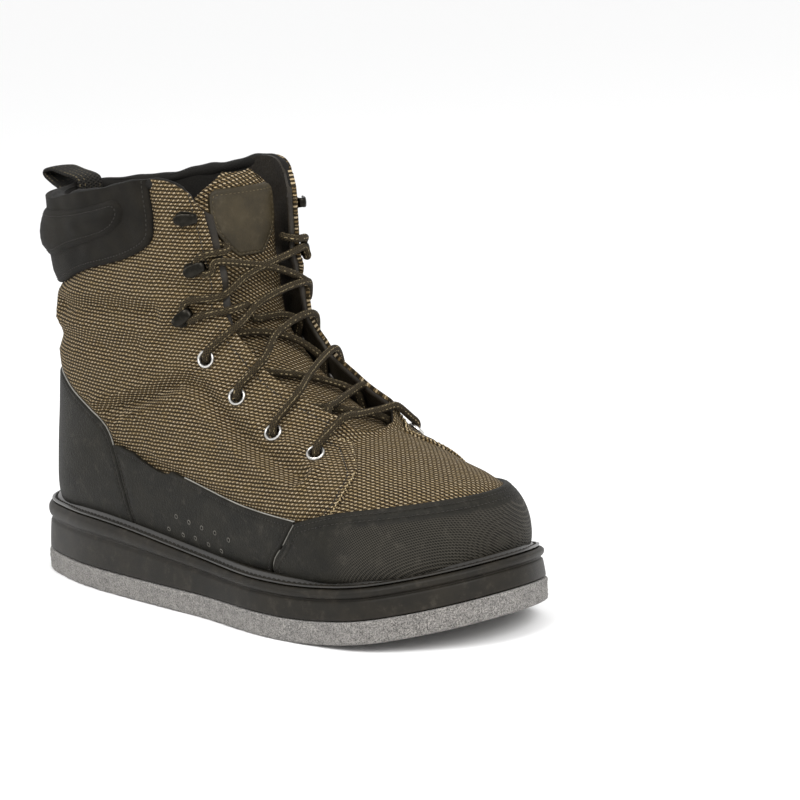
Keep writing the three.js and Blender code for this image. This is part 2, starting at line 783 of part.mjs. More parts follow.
// Colours and finish of each material
const materialTable = {
  cloth: [0x5f5340, 0.95, 0],
  panel: [0x33312c, 0.7, 0],
  lining: [0x2a2825, 0.85, 0],
  insole: [0x3a3a38, 0.9, 0],
  felt: [0xa09b96, 1, 0],
  rubber: [0x3a362f, 0.75, 0],
  eyelet: [0xb0aeaa, 0.35, 1],
  hook: [0x3c3a38, 0.35, 1],
  lace: [0x3d3524, 0.9, 0],
};
const materials = Object.fromEntries(
  Object.entries(materialTable).map(([name, [color, roughness, metalness]]) => [
    name,
    new THREE.MeshStandardMaterial({ name, color, roughness, metalness }),
  ]),
);

// Turns a solid into a named mesh.
function meshOf(name, solid, material) {
  const mesh = solid.getMesh();
  const geometry = new THREE.BufferGeometry();
  geometry.setAttribute('position', new THREE.BufferAttribute(new Float32Array(mesh.vertProperties), 3));
  geometry.setIndex(new THREE.BufferAttribute(new Uint32Array(mesh.triVerts), 1));
  geometry.computeVertexNormals();
  const node = new THREE.Mesh(geometry, material);
  node.name = name;
  return node;
}

const boot = new THREE.Group();
for (const { name, solid, material } of pieces) {
  boot.add(meshOf(name, solid, materials[material]));
}

export default boot;
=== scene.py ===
"""Wading boot for the right foot: cloth, leather, lacing, sole and the studio round it.

The boot's own sizes are in millimetres and become metres when a mesh is made.
X points to the toe, Y to the inner side of the foot, Z up; the origin lies on the
felt's underside, halfway along the sole.
"""

import logging
import math
from dataclasses import dataclass, field
from enum import Enum
from typing import Callable, Optional, Sequence, Union

import bpy
import numpy as np
from mathutils import Matrix, Vector


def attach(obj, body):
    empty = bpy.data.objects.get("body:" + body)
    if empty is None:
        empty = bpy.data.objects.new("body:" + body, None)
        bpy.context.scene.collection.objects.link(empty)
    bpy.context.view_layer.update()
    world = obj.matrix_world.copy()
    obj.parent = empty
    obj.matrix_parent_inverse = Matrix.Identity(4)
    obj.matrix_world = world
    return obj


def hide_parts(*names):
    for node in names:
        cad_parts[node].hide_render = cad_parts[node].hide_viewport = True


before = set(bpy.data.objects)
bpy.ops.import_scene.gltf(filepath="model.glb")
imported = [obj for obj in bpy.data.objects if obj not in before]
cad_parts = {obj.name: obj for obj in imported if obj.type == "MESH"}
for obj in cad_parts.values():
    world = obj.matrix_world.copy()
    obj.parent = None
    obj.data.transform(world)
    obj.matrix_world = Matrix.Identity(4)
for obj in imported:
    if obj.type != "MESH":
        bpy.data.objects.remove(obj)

log = logging.getLogger("boot")
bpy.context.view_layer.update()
MM = 0.001
ROOT = "root"
# Corners closer than about this, in millimetres, become one
WELD = 0.003

Array = np.ndarray
Number = Union[float, Array]
Field = Callable[[Array, Array], Array]
Offset = Union[float, Field]


def smooth(value: Number) -> Number:
    """Return a value between 0 and 1 eased at both ends."""
    share = np.clip(value, 0.0, 1.0)
    return share * share * (3 - 2 * share)


def cubic(before: Array, start: Array, end: Array, after: Array, share: Array) -> Array:
    """Read a smooth curve between two rows.

    Args:
        before, start, end, after: the four rows round the share.
        share: how far along from start to end.

    Returns:
        The rows read there.
    """
    slope_in = (end - before) / 2
    slope_out = (after - start) / 2
    rise = end - start
    third = slope_in + slope_out - 2 * rise
    second = 3 * rise - 2 * slope_in - slope_out
    return start + share * (slope_in + share * (second + share * third))


def smooth_path(points: Sequence[Sequence[float]], step: float, closed: bool = False) -> Array:
    """Sample a smooth curve through points at an even step.

    Args:
        points: the points, in any number of dimensions.
        step: the distance between samples.
        closed: whether the curve joins its end to its start.

    Returns:
        The samples, one row each.
    """
    knots = np.asarray(points, float)
    if closed:
        ring = np.vstack([knots[-1], knots, knots[0], knots[1]])
    else:
        ring = np.vstack([2 * knots[0] - knots[1], knots, 2 * knots[-1] - knots[-2]])
    parts = []
    for index in range(len(ring) - 3):
        share = np.linspace(0, 1, 17)[:-1, None]
        parts.append(cubic(ring[index], ring[index + 1], ring[index + 2], ring[index + 3], share))
    dense = np.vstack(parts + [ring[-2:-1]])
    return resample(dense, step)


def resample(points: Array, step: float) -> Array:
    """Return points spread evenly along a polyline, about a step apart."""
    lengths = np.linalg.norm(np.diff(points, axis=0), axis=1)
    along = np.concatenate([[0], np.cumsum(lengths)])
    count = max(int(round(along[-1] / step)), 2)
    wanted = np.linspace(0, along[-1], count + 1)
    return np.stack([np.interp(wanted, along, column) for column in points.T], axis=1)


@dataclass(frozen=True)
class BootSizes:
    """The boot's driving sizes, in millimetres."""

    sole_length: float = 318.0
    ball_width: float = 117.0
    heel_height: float = 36.0
    forefoot_height: float = 26.0
    instep_height: float = 134.0
    collar_height: float = 199.0
    collar_tilt: float = 0.05
    toe_spring: float = 13.8
    spring_start: float = 0.7
    felt: float = 11.0
    wall: float = 2.2
    padding: float = 4.0
    insole: float = 4.5
    tongue: float = 5.0
    tongue_margin: float = 11.0
    tongue_drop: float = 5.0
    tongue_clearance: float = 0.8
    flap_curl: float = 9.0
    curl_width: float = 20.0
    gap: float = 0.3

    def x_at(self, share: Number) -> Number:
        """Return the X of a share of the sole length from the heel."""
        return (share - 0.5) * self.sole_length

    def share_at(self, x: Number) -> Number:
        """Return the share of the sole length from the heel at an X."""
        return x / self.sole_length + 0.5

    def sole_lift(self, x: Number) -> Number:
        """Return the height of the felt's underside above the floor."""
        share = np.clip((self.share_at(x) - self.spring_start) / (1 - self.spring_start), 0, 1.1)
        return self.toe_spring * share * share

    def seat(self, x: Number) -> Number:
        """Return the height of the sole's top, where the upper stands on it."""
        to_ball = smooth((self.share_at(x) - 0.2) / 0.45)
        return self.heel_height + (self.forefoot_height - self.heel_height) * to_ball + self.sole_lift(x)

    def rise(self, share: Number) -> Number:
        """Return a height above the seat: 0 at the seat, 1 at the instep, 2 at the collar."""
        low = self.instep_height - self.heel_height
        high = self.collar_height - self.instep_height
        return np.where(np.less(share, 1), np.multiply(share, low), low + np.subtract(share, 1) * high)


SIZES = BootSizes()

# One place's length in millimetres along the throat's lower end
PLACE_LENGTH = 22.0

# Sections of the last: a point at the back or bottom, one at the front or top, half widths,
# where the section is widest, how square its lower and upper halves are, and the ridge's lean
LAST_ROWS = (
    (0.966, 0.09, 0.966, 0.09, -0.05, 0.05, 0.45, 2.2, 2.0, 0),
    (0.957, -0.03, 0.955, 0.235, 0.115, 0.215, 0.42, 2.4, 2.0, 0),
    (0.93, -0.06, 0.923, 0.367, 0.255, 0.325, 0.4, 2.7, 2.1, 0.01),
    (0.885, -0.06, 0.872, 0.455, 0.37, 0.4, 0.38, 3.0, 2.1, 0.02),
    (0.815, -0.06, 0.795, 0.57, 0.44, 0.43, 0.35, 3.2, 2.1, 0.03),
    (0.73, -0.06, 0.71, 0.67, 0.45, 0.43, 0.33, 3.4, 2.15, 0.04),
    (0.63, -0.06, 0.63, 0.795, 0.43, 0.385, 0.33, 3.6, 2.2, 0.04),
    (0.52, -0.06, 0.56, 0.95, 0.405, 0.345, 0.33, 4.0, 2.25, 0.04),
    (0.393, -0.07, 0.518, 1.16, 0.385, 0.33, 0.38, 4.4, 2.4, 0.03),
    (0.267, -0.08, 0.508, 1.31, 0.37, 0.335, 0.45, 4.4, 2.5, 0.02),
    (0.126, -0.08, 0.505, 1.42, 0.355, 0.345, 0.52, 3.4, 2.8, 0.01),
    (0.052, -0.04, 0.505, 1.5, 0.355, 0.355, 0.54, 2.5, 3.0, 0),
    (0.042, 0.18, 0.509, 1.58, 0.355, 0.355, 0.54, 2.2, 3.1, 0),
    (0.057, 0.48, 0.508, 1.66, 0.355, 0.355, 0.53, 2.2, 3.1, 0),
    (0.078, 0.84, 0.506, 1.75, 0.36, 0.355, 0.52, 2.3, 3.1, 0),
    (0.085, 1.27, 0.505, 1.86, 0.36, 0.355, 0.52, 2.3, 3.1, 0),
    (0.077, 1.78, 0.503, 1.98, 0.36, 0.355, 0.52, 2.3, 3.1, 0),
    (0.07, 2.2, 0.5, 2.17, 0.36, 0.355, 0.52, 2.3, 3.1, 0),
    (0.067, 2.45, 0.49, 2.42, 0.36, 0.355, 0.52, 2.3, 3.1, 0),
)

# The throat's lower end, then section places and half the opening as a share of the ball width
THROAT_START = 4.7
THROAT_ROWS = (
    (THROAT_START, 0.02), (4.8, 0.1), (5.2, 0.15), (6.2, 0.165), (7.4, 0.17),
    (8.4, 0.18), (10, 0.2), (13, 0.205), (16, 0.23), (18, 0.25),
)


class Last:
    """The form that the upper follows: sections fanned from the toe over the ankle to the collar.

    A point has a place, which counts sections from the toe, and an angle: -90 is the back or
    bottom, 90 the front or top, the outer side lies between, and past 90 comes the inner side.
    """

    def __init__(self, sizes: BootSizes) -> None:
        """Read the sections in millimetres."""
        self.sizes = sizes
        table = np.array(LAST_ROWS, float)
        rows = table.copy()
        rows[:, 0] = sizes.x_at(table[:, 0])
        rows[:, 2] = sizes.x_at(table[:, 2])
        rows[:, 4] = (table[:, 4] + table[:, 5]) / 2 * sizes.ball_width
        rows[:, 5] = (table[:, 5] - table[:, 4]) / 2 * sizes.ball_width
        rows[:, 9] = table[:, 9] * sizes.ball_width
        ghost = rows[1].copy()
        ghost[[0, 1, 2, 3]] = rows[1][[2, 3, 0, 1]]
        ghost[4] = -rows[1][4]
        self.top = len(rows) - 1
        self.rows = np.vstack([ghost, rows, rows[-1]])
        self.throat = np.array(THROAT_ROWS)

    def read(self, place: Array) -> Array:
        """Return the section rows at places, columns first."""
        index = np.clip(np.floor(place).astype(int), 0, self.top - 1)
        share = (place - index)[..., None]
        parts = [self.rows[index + step] for step in range(4)]
        return np.moveaxis(cubic(*parts, share), -1, 0)

    def point(self, place: Array, angle: Array) -> Array:
        """Return points of the last."""
        place, angle = np.broadcast_arrays(np.asarray(place, float), np.asarray(angle, float))
        back_x, back_rise, front_x, front_rise, half, centre, widest, low, high, ridge = self.read(place)
        back_z = self.sizes.seat(back_x) + self.sizes.rise(back_rise)
        front_z = self.sizes.seat(front_x) + self.sizes.rise(front_rise)
        sine, cosine = np.sin(np.radians(angle)), np.cos(np.radians(angle))
        power = 2 / np.where(sine < 0, low, high)
        reach = np.sign(sine) * np.abs(sine) ** power
        along = np.where(sine < 0, widest * (1 + reach), widest + (1 - widest) * reach)
        width = np.sign(cosine) * np.abs(cosine) ** power
        lean = np.where(sine > 0, ridge * sine * sine, 0)
        x = back_x + (front_x - back_x) * along
        z = back_z + (front_z - back_z) * along
        return np.stack([x, centre + lean - width * half, z], axis=-1)

    def raw_normal(self, place: Array, angle: Array) -> Array:
        """Return the outward directions of the last's face."""
        place, angle = np.broadcast_arrays(np.asarray(place, float), np.asarray(angle, float))
        step = 0.02
        low = np.maximum(place - step, 0.004)
        high = np.maximum(place + step, low + step)
        along_foot = self.point(high, angle) - self.point(low, angle)
        level = np.maximum(place, 0.01)
        around = self.point(level, angle + 1) - self.point(level, angle - 1)
        face = np.cross(around, along_foot)
        return face / np.linalg.norm(face, axis=-1, keepdims=True)

    def normal(self, place: Array, angle: Array) -> Array:
        """Return the outward directions, with the toe's tip turned forward so that it closes."""
        place, angle = np.broadcast_arrays(np.asarray(place, float), np.asarray(angle, float))
        tip = (np.clip(1 - place / 0.3, 0, 1) * 0.5)[..., None]
        face = self.raw_normal(place, angle)
        if np.any(tip > 0):
            face = face * (1 - tip) + self.raw_normal(place, -angle) * tip
        return face / np.linalg.norm(face, axis=-1, keepdims=True)

    def off(self, place: Array, angle: Array, offset: Offset = 0.0) -> Array:
        """Return points off the last's face by an offset."""
        distance = offset(place, angle) if callable(offset) else np.asarray(offset, float)
        return self.point(place, angle) + self.normal(place, angle) * np.asarray(distance)[..., None]

    def throat_half(self, place: Array) -> Array:
        """Return half the throat's opening in millimetres."""
        return np.interp(place, self.throat[:, 0], self.throat[:, 1]) * self.sizes.ball_width

    def from_middle(self, place: Array, angle: Array) -> Array:
        """Return the distance from the last's middle line, on its upper half."""
        row = self.read(np.asarray(place, float))
        return np.abs(np.cos(np.radians(angle))) ** (2 / row[8]) * row[4]

    def angle_at(self, place: Array, distance: Array) -> Array:
        """Return the outer side's angle at a distance from the middle line."""
        row = self.read(np.asarray(place, float))
        share = np.clip(distance / row[4], 0, 1)
        return np.degrees(np.arccos(share ** (row[8] / 2)))

    def curl(self, place: Array, angle: Array) -> Array:
        """Return how far the flaps stand off the last beside the throat."""
        sizes = self.sizes
        room = self.throat_half(place) + sizes.curl_width - self.from_middle(place, angle)
        share = np.clip(room / sizes.curl_width, 0, 1)
        start = smooth((place - 4.5) / 0.7)
        fade = 1 - 0.6 * smooth((place - 9) / 4)
        return np.where(np.sin(np.radians(angle)) > 0, sizes.flap_curl * start * fade * share * share, 0)

    def wall(self, place: Array, angle: Array, offset: Offset = 0.0) -> Array:
        """Return points off the wall's outer face, flaps curled."""
        distance = offset(place, angle) if callable(offset) else offset
        return self.off(place, angle, distance + self.curl(place, angle))

    def wall_frame(self, place: float, angle: float, lift: float) -> tuple[Array, Array, Array, Array]:
        """Return a seat on the wall.

        Args:
            place, angle: where on the last.
            lift: how far off the wall's face.

        Returns:
            The seat's point, and its directions away from the throat, off the face and sideways.
        """
        turn = 1.0 if angle > 90 else -1.0
        here = self.wall(np.array(place), np.array(angle), 0.0)
        away = self.wall(np.array(place), np.array(angle + turn), 0.0) - here
        away /= np.linalg.norm(away)
        along = self.wall(np.array(place + 0.05), np.array(angle), 0.0)
        along = along - self.wall(np.array(place - 0.05), np.array(angle), 0.0)
        face = np.cross(away, along)
        face /= np.linalg.norm(face)
        face *= np.sign(face @ self.normal(np.array(place), np.array(angle)))
        return here + face * lift, away, face, np.cross(away, face)


LAST = Last(SIZES)


def side_view(rows: Sequence[tuple[float, float]]) -> Array:
    """Return X and Z of points given as shares of the sole length and rises."""
    table = np.array(rows, float)
    return np.stack([SIZES.x_at(table[:, 0]), SIZES.heel_height + SIZES.rise(table[:, 1])], axis=1)


class Line:
    """A smooth line in side view, given as shares of the sole length and rises above the heel seat."""

    def __init__(self, rows: Sequence[tuple[float, float]], step: float = 1.5) -> None:
        """Sample the line in millimetres."""
        self.points = smooth_path(side_view(rows), step)

    def distance(self, x: Array, z: Array) -> Array:
        """Return the distances from side view points to the line."""
        return nearest(self.points, x, z)


def nearest(points: Array, x: Array, z: Array) -> Array:
    """Return the distance from each side view point to a polyline."""
    best = np.full(np.shape(x), np.inf)
    for (ax, az), (bx, bz) in zip(points[:-1], points[1:]):
        dx, dz = bx - ax, bz - az
        share = np.clip(((x - ax) * dx + (z - az) * dz) / max(dx * dx + dz * dz, 1e-9), 0, 1)
        best = np.minimum(best, np.hypot(x - ax - share * dx, z - az - share * dz))
    return best


def inside(loop: Array, x: Array, z: Array) -> Array:
    """Return signed distances to a closed side view outline, positive inside it."""
    ring = np.vstack([loop, loop[:1]])
    crossings = np.zeros(np.shape(x), int)
    for (ax, az), (bx, bz) in zip(ring[:-1], ring[1:]):
        straddles = (az > z) != (bz > z)
        slope = (bx - ax) / (bz - az) if bz != az else 0.0
        crossings += straddles & (x < ax + (z - az) * slope)
    return np.where(crossings % 2 == 1, 1.0, -1.0) * nearest(ring, x, z)


class Spots:
    """Places on the boot's wall, with where they lie in millimetres."""

    def __init__(self, place: Array, angle: Array) -> None:
        """Work out where the spots lie."""
        self.place = np.asarray(place, float)
        self.angle = np.asarray(angle, float)
        spots = LAST.wall(self.place, self.angle, 0.0)
        self.x, self.y, self.z = spots[..., 0], spots[..., 1], spots[..., 2]

    @property
    def share(self) -> Array:
        """Return the shares of the sole length from the heel."""
        return SIZES.share_at(self.x)

    @property
    def rise(self) -> Array:
        """Return the rises above the heel seat, as the lines give them."""
        up = self.z - SIZES.heel_height
        low = SIZES.instep_height - SIZES.heel_height
        return np.where(up < low, up / low, 1 + (up - low) / (SIZES.collar_height - SIZES.instep_height))


Measure = Callable[[Spots], Array]


class Keep(Enum):
    """Which side of a cut stays."""

    ABOVE = 1
    BELOW = -1
    BOTH = 0


def grid_faces(rows: int, columns: int) -> list[tuple[int, ...]]:
    """Return the faces between the corners of an open grid."""
    starts = (row * columns + column for row in range(rows - 1) for column in range(columns - 1))
    return [(a, a + 1, a + columns + 1, a + columns) for a in starts]


def ring_faces(rings: int, count: int, first: int = 0, joined: bool = False) -> list[tuple[int, ...]]:
    """Return the faces between closed rings of corners.

    Args:
        rings: how many rings there are.
        count: how many corners each has.
        first: the number of the first ring's first corner.
        joined: whether the last ring also joins the first.

    Returns:
        The faces.
    """
    faces = []
    for row in range(rings if joined else rings - 1):
        low, high = first + row * count, first + (row + 1) % rings * count
        for step in range(count):
            after = (step + 1) % count
            faces.append((low + step, low + after, high + after, high + step))
    return faces


def end_faces(rings: int, count: int, first: int = 0) -> list[tuple[int, ...]]:
    """Return the two faces that close a tube of rings."""
    last = first + (rings - 1) * count
    corners = range(count)
    return [tuple(first + step for step in reversed(corners)), tuple(last + step for step in corners)]


class Skin:
    """A piece of the boot's face, kept as places and angles, that can be cut along lines."""

    def __init__(self, place: Array, angle: Array, faces: list[tuple[int, ...]]) -> None:
        """Keep the corners and the faces between them."""
        self.place, self.angle, self.faces = place, angle, faces
        self._spots: Optional[Spots] = None

    @classmethod
    def grid(cls, places: Array, angles: Array) -> "Skin":
        """Return a skin over a grid of places and angles."""
        place, angle = np.meshgrid(places, angles, indexing="ij")
        return cls(place.ravel(), angle.ravel(), grid_faces(*place.shape))

    @property
    def spots(self) -> Spots:
        """Return where the corners lie."""
        if self._spots is None:
            self._spots = Spots(self.place, self.angle)
        return self._spots

    def cut(self, measure: Measure, level: float = 0.0, keep: Keep = Keep.ABOVE) -> "Skin":
        """Cut the skin where a measure has a level.

        Args:
            measure: a distance over the skin, in millimetres.
            level: the distance at which to cut.
            keep: which side stays.

        Returns:
            The cut skin.
        """
        values = measure(self.spots) - level
        side = np.where(np.abs(values) < 0.04, 0, np.sign(values)).astype(int).tolist()
        place, angle = self.place.tolist(), self.angle.tolist()
        split: dict[tuple[int, int], int] = {}
        faces: list[tuple[int, ...]] = []
        for face in self.faces:
            marks = [side[corner] for corner in face]
            low, high = min(marks), max(marks)
            if low >= 0 or high <= 0:
                above = low >= 0
                if keep is Keep.BOTH or above == (keep is Keep.ABOVE):
                    faces.append(face)
                continue
            upper: list[int] = []
            lower: list[int] = []
            for a, b in zip(face, face[1:] + face[:1]):
                if side[a] >= 0:
                    upper.append(a)
                if side[a] <= 0:
                    lower.append(a)
                if side[a] * side[b] < 0:
                    edge = (min(a, b), max(a, b))
                    if edge not in split:
                        share = values[a] / (values[a] - values[b])
                        split[edge] = len(place)
                        place.append(place[a] + (place[b] - place[a]) * share)
                        angle.append(angle[a] + (angle[b] - angle[a]) * share)
                    upper.append(split[edge])
                    lower.append(split[edge])
            if keep is not Keep.BELOW and len(upper) > 2:
                faces.append(tuple(upper))
            if keep is not Keep.ABOVE and len(lower) > 2:
                faces.append(tuple(lower))
        used = sorted({corner for face in faces for corner in face})
        renumber = {old: new for new, old in enumerate(used)}
        faces = [tuple(renumber[corner] for corner in face) for face in faces]
        return Skin(np.array(place)[used], np.array(angle)[used], faces)

    def score(self, measure: Measure, levels: Sequence[float]) -> "Skin":
        """Return the skin with edges along each level of a measure."""
        skin = self
        for level in levels:
            skin = skin.cut(measure, level, Keep.BOTH)
        return skin

    def trace(self, measure: Measure, level: float) -> list[Array]:
        """Return the chains of places and angles along a level that the skin was scored at."""
        near = np.abs(measure(self.spots) - level) < 0.12
        links: dict[int, set[int]] = {}
        for face in self.faces:
            for a, b in zip(face, face[1:] + face[:1]):
                if near[a] and near[b]:
                    links.setdefault(a, set()).add(b)
                    links.setdefault(b, set()).add(a)
        chains = []
        starts = sorted(links, key=lambda corner: (len(links[corner]) != 1, corner))
        seen: set[int] = set()
        for start in starts:
            if start in seen:
                continue
            chain = [start]
            seen.add(start)
            while True:
                onward = sorted(corner for corner in links[chain[-1]] if corner not in seen)
                if not onward:
                    break
                chain.append(onward[0])
                seen.add(onward[0])
            if len(chain) > 3:
                chains.append(np.stack([self.place[chain], self.angle[chain]], axis=1))
        return chains

    def lay(self, height: Union[float, Array]) -> Array:
        """Return the corners lifted off the wall by heights."""
        return LAST.wall(self.place, self.angle, np.asarray(height, float))


@dataclass
class Shape:
    """A mesh in the making: points in millimetres, faces, and what its shader reads."""

    points: Array
    faces: list[tuple[int, ...]]
    uv: Optional[Array] = None
    marks: dict[str, Array] = field(default_factory=dict)

    @classmethod
    def empty(cls) -> "Shape":
        """Return a shape with nothing in it."""
        return cls(np.zeros((0, 3)), [])

    def joined(self, other: "Shape") -> "Shape":
        """Return both shapes as one."""
        shift = len(self.points)
        faces = self.faces + [tuple(corner + shift for corner in face) for face in other.faces]
        uv = None if self.uv is None or other.uv is None else np.vstack([self.uv, other.uv])
        return Shape(np.vstack([self.points, other.points]), faces, uv)

    def build(self, name: str, crease: float = 38.0) -> bpy.types.Object:
        """Make the mesh object.

        Args:
            name: the piece's name.
            crease: the angle in degrees past which an edge stays sharp.

        Returns:
            The object, linked to the scene.
        """
        keys = np.round(self.points / WELD).astype(np.int64)
        first, where = np.unique(keys, axis=0, return_index=True, return_inverse=True)[1:]
        where = where.ravel()
        faces, loops = [], []
        for face in self.faces:
            corners, kept = [], []
            for corner in face:
                if where[corner] not in corners:
                    corners.append(int(where[corner]))
                    kept.append(corner)
            if len(corners) > 2:
                faces.append(corners)
                loops.extend(kept)
        name = name.replace(" ", "_") + "_dressed"
        mesh = bpy.data.meshes.new(name)
        mesh.from_pydata((self.points[first] * MM).tolist(), [], faces)
        if self.uv is not None:
            layer = mesh.uv_layers.new(name="UVMap")
            layer.data.foreach_set("uv", self.uv[loops].astype(np.float32).ravel())
        for mark, values in self.marks.items():
            store = mesh.attributes.new(mark, "FLOAT", "POINT")
            store.data.foreach_set("value", values[first].astype(np.float32))
        mesh.polygons.foreach_set("use_smooth", [True] * len(mesh.polygons))
        mesh.set_sharp_from_angle(angle=math.radians(crease))
        mesh.update()
        piece = bpy.data.objects.new(name, mesh)
        bpy.context.scene.collection.objects.link(piece)
        return piece


def closed_sheet(skin: Skin, top: Array, bottom: Array, uv: Optional[Array] = None) -> Shape:
    """Return a closed sheet between two layers of a skin's corners."""
    count = len(top)
    keys = np.round(top / WELD).astype(np.int64)
    same = np.unique(keys, axis=0, return_inverse=True)[1].ravel().tolist()
    uses: dict[tuple[int, int], tuple[int, int]] = {}
    for face in skin.faces:
        for a, b in zip(face, face[1:] + face[:1]):
            uses[(same[a], same[b])] = (a, b)
    faces = list(skin.faces)
    faces += [tuple(corner + count for corner in reversed(face)) for face in skin.faces]
    for (one, other), (a, b) in uses.items():
        if one != other and (other, one) not in uses:
            faces.append((b, a, a + count, b + count))
    return Shape(np.vstack([top, bottom]), faces, None if uv is None else np.vstack([uv, uv]))


def grid_normals(grid: Array) -> Array:
    """Return the outward directions of a grid of points over the throat."""
    face = np.cross(np.gradient(grid, axis=1), np.gradient(grid, axis=0))
    face /= np.linalg.norm(face, axis=-1, keepdims=True)
    return face * np.sign((face[..., 0] + face[..., 2]).sum())


def rolled(distance: Array, radius: float) -> Array:
    """Return how far a rounded edge has risen, 0 at the edge and 1 a radius in."""
    share = np.clip(distance / radius, 0, 1)
    return np.sqrt(np.clip(1 - (1 - share) ** 2, 0, 1))


def tube(path: Array, radius: Union[float, Array], sides: int = 12, closed: bool = False) -> Shape:
    """Sweep a round section along a path, with lengths and turns as its UVs in millimetres and turns."""
    points = np.asarray(path, float)
    count = len(points)
    radii = np.broadcast_to(np.asarray(radius, float), count)
    if closed:
        tangents = np.roll(points, -1, axis=0) - np.roll(points, 1, axis=0)
    else:
        tangents = np.gradient(points, axis=0)
    tangents /= np.linalg.norm(tangents, axis=1, keepdims=True)
    side = np.cross(tangents[0], [0.0, 0.0, 1.0])
    if np.linalg.norm(side) < 0.1:
        side = np.cross(tangents[0], [0.0, 1.0, 0.0])
    sides_at = []
    for tangent in tangents:
        side = side - tangent * (side @ tangent)
        side /= np.linalg.norm(side)
        sides_at.append(side)
    across = np.array(sides_at)
    upward = np.cross(tangents, across)
    lengths = np.concatenate([[0], np.cumsum(np.linalg.norm(np.diff(points, axis=0), axis=1))])
    turns = np.arange(sides + 1) / sides
    cosine, sine = np.cos(2 * np.pi * turns), np.sin(2 * np.pi * turns)
    ring = across[:, None] * cosine[None, :, None] + upward[:, None] * sine[None, :, None]
    verts = (points[:, None] + ring * radii[:, None, None]).reshape(-1, 3)
    uv = np.stack(np.broadcast_arrays(lengths[:, None], turns[None, :]), axis=-1).reshape(-1, 2)
    width = sides + 1
    faces: list[tuple[int, ...]] = []
    for row in range(count - 1 + (1 if closed else 0)):
        onward = (row + 1) % count
        for column in range(sides):
            a, b = row * width + column, onward * width + column
            faces.append((a, a + 1, b + 1, b))
    if not closed:
        faces.append(tuple(range(sides))[::-1])
        faces.append(tuple((count - 1) * width + column for column in range(sides)))
    return Shape(verts, faces, uv)


def stitches(line: Array, faces_out: Array, pitch: float, length: float, radius: float) -> Shape:
    """Sew a row of stitches along a line.

    Args:
        line: points along the row.
        faces_out: the directions off the face there.
        pitch: from one stitch to the next.
        length: one stitch's length.
        radius: the thread's radius.

    Returns:
        The stitches as one shape.
    """
    both = resample(np.hstack([line, faces_out]), pitch / 4)
    steps = range(2, len(both) - 4, 4)
    if not len(steps):
        return Shape.empty()
    rings, sides = 5, 6
    verts, faces = [], []
    for start in steps:
        middle = both[start, :3]
        off = both[start, 3:] / np.linalg.norm(both[start, 3:])
        along = both[start + 2, :3] - both[start - 2, :3]
        along -= off * (along @ off)
        along /= np.linalg.norm(along)
        across = np.cross(along, off)
        base = len(verts)
        for ring in range(rings):
            share = ring / (rings - 1) * 2 - 1
            lift = radius * (0.7 - 1.5 * share * share)
            size = radius * math.sqrt(max(1 - (abs(share) ** 3) * 0.75, 0.05))
            for step in range(sides):
                turn = 2 * math.pi * step / sides
                verts.append(
                    middle + along * share * length / 2 + off * (lift + size * math.sin(turn))
                    + across * size * math.cos(turn)
                )
        faces += ring_faces(rings, sides, base) + end_faces(rings, sides, base)
    return Shape(np.array(verts), faces)


def sew(skin: Skin, measure: Measure, level: float, height: Measure, **sizes: float) -> Shape:
    """Sew stitches along a level that a skin was scored at, at the height of its face."""
    row = Shape.empty()
    for chain in skin.trace(measure, level):
        spots = Spots(chain[:, 0], chain[:, 1])
        line = LAST.wall(spots.place, spots.angle, height(spots))
        row = row.joined(stitches(line, LAST.normal(spots.place, spots.angle), **sizes))
    return row


Socket = bpy.types.NodeSocket
Input = Union[float, Sequence[float], Socket]
Colour = tuple[float, float, float]


def shade(red: int, green: int, blue: int) -> Colour:
    """Return a screen colour as the shaders read it."""
    parts = [value / 255 for value in (red, green, blue)]
    return tuple(part / 12.92 if part <= 0.04045 else ((part + 0.055) / 1.055) ** 2.4 for part in parts)


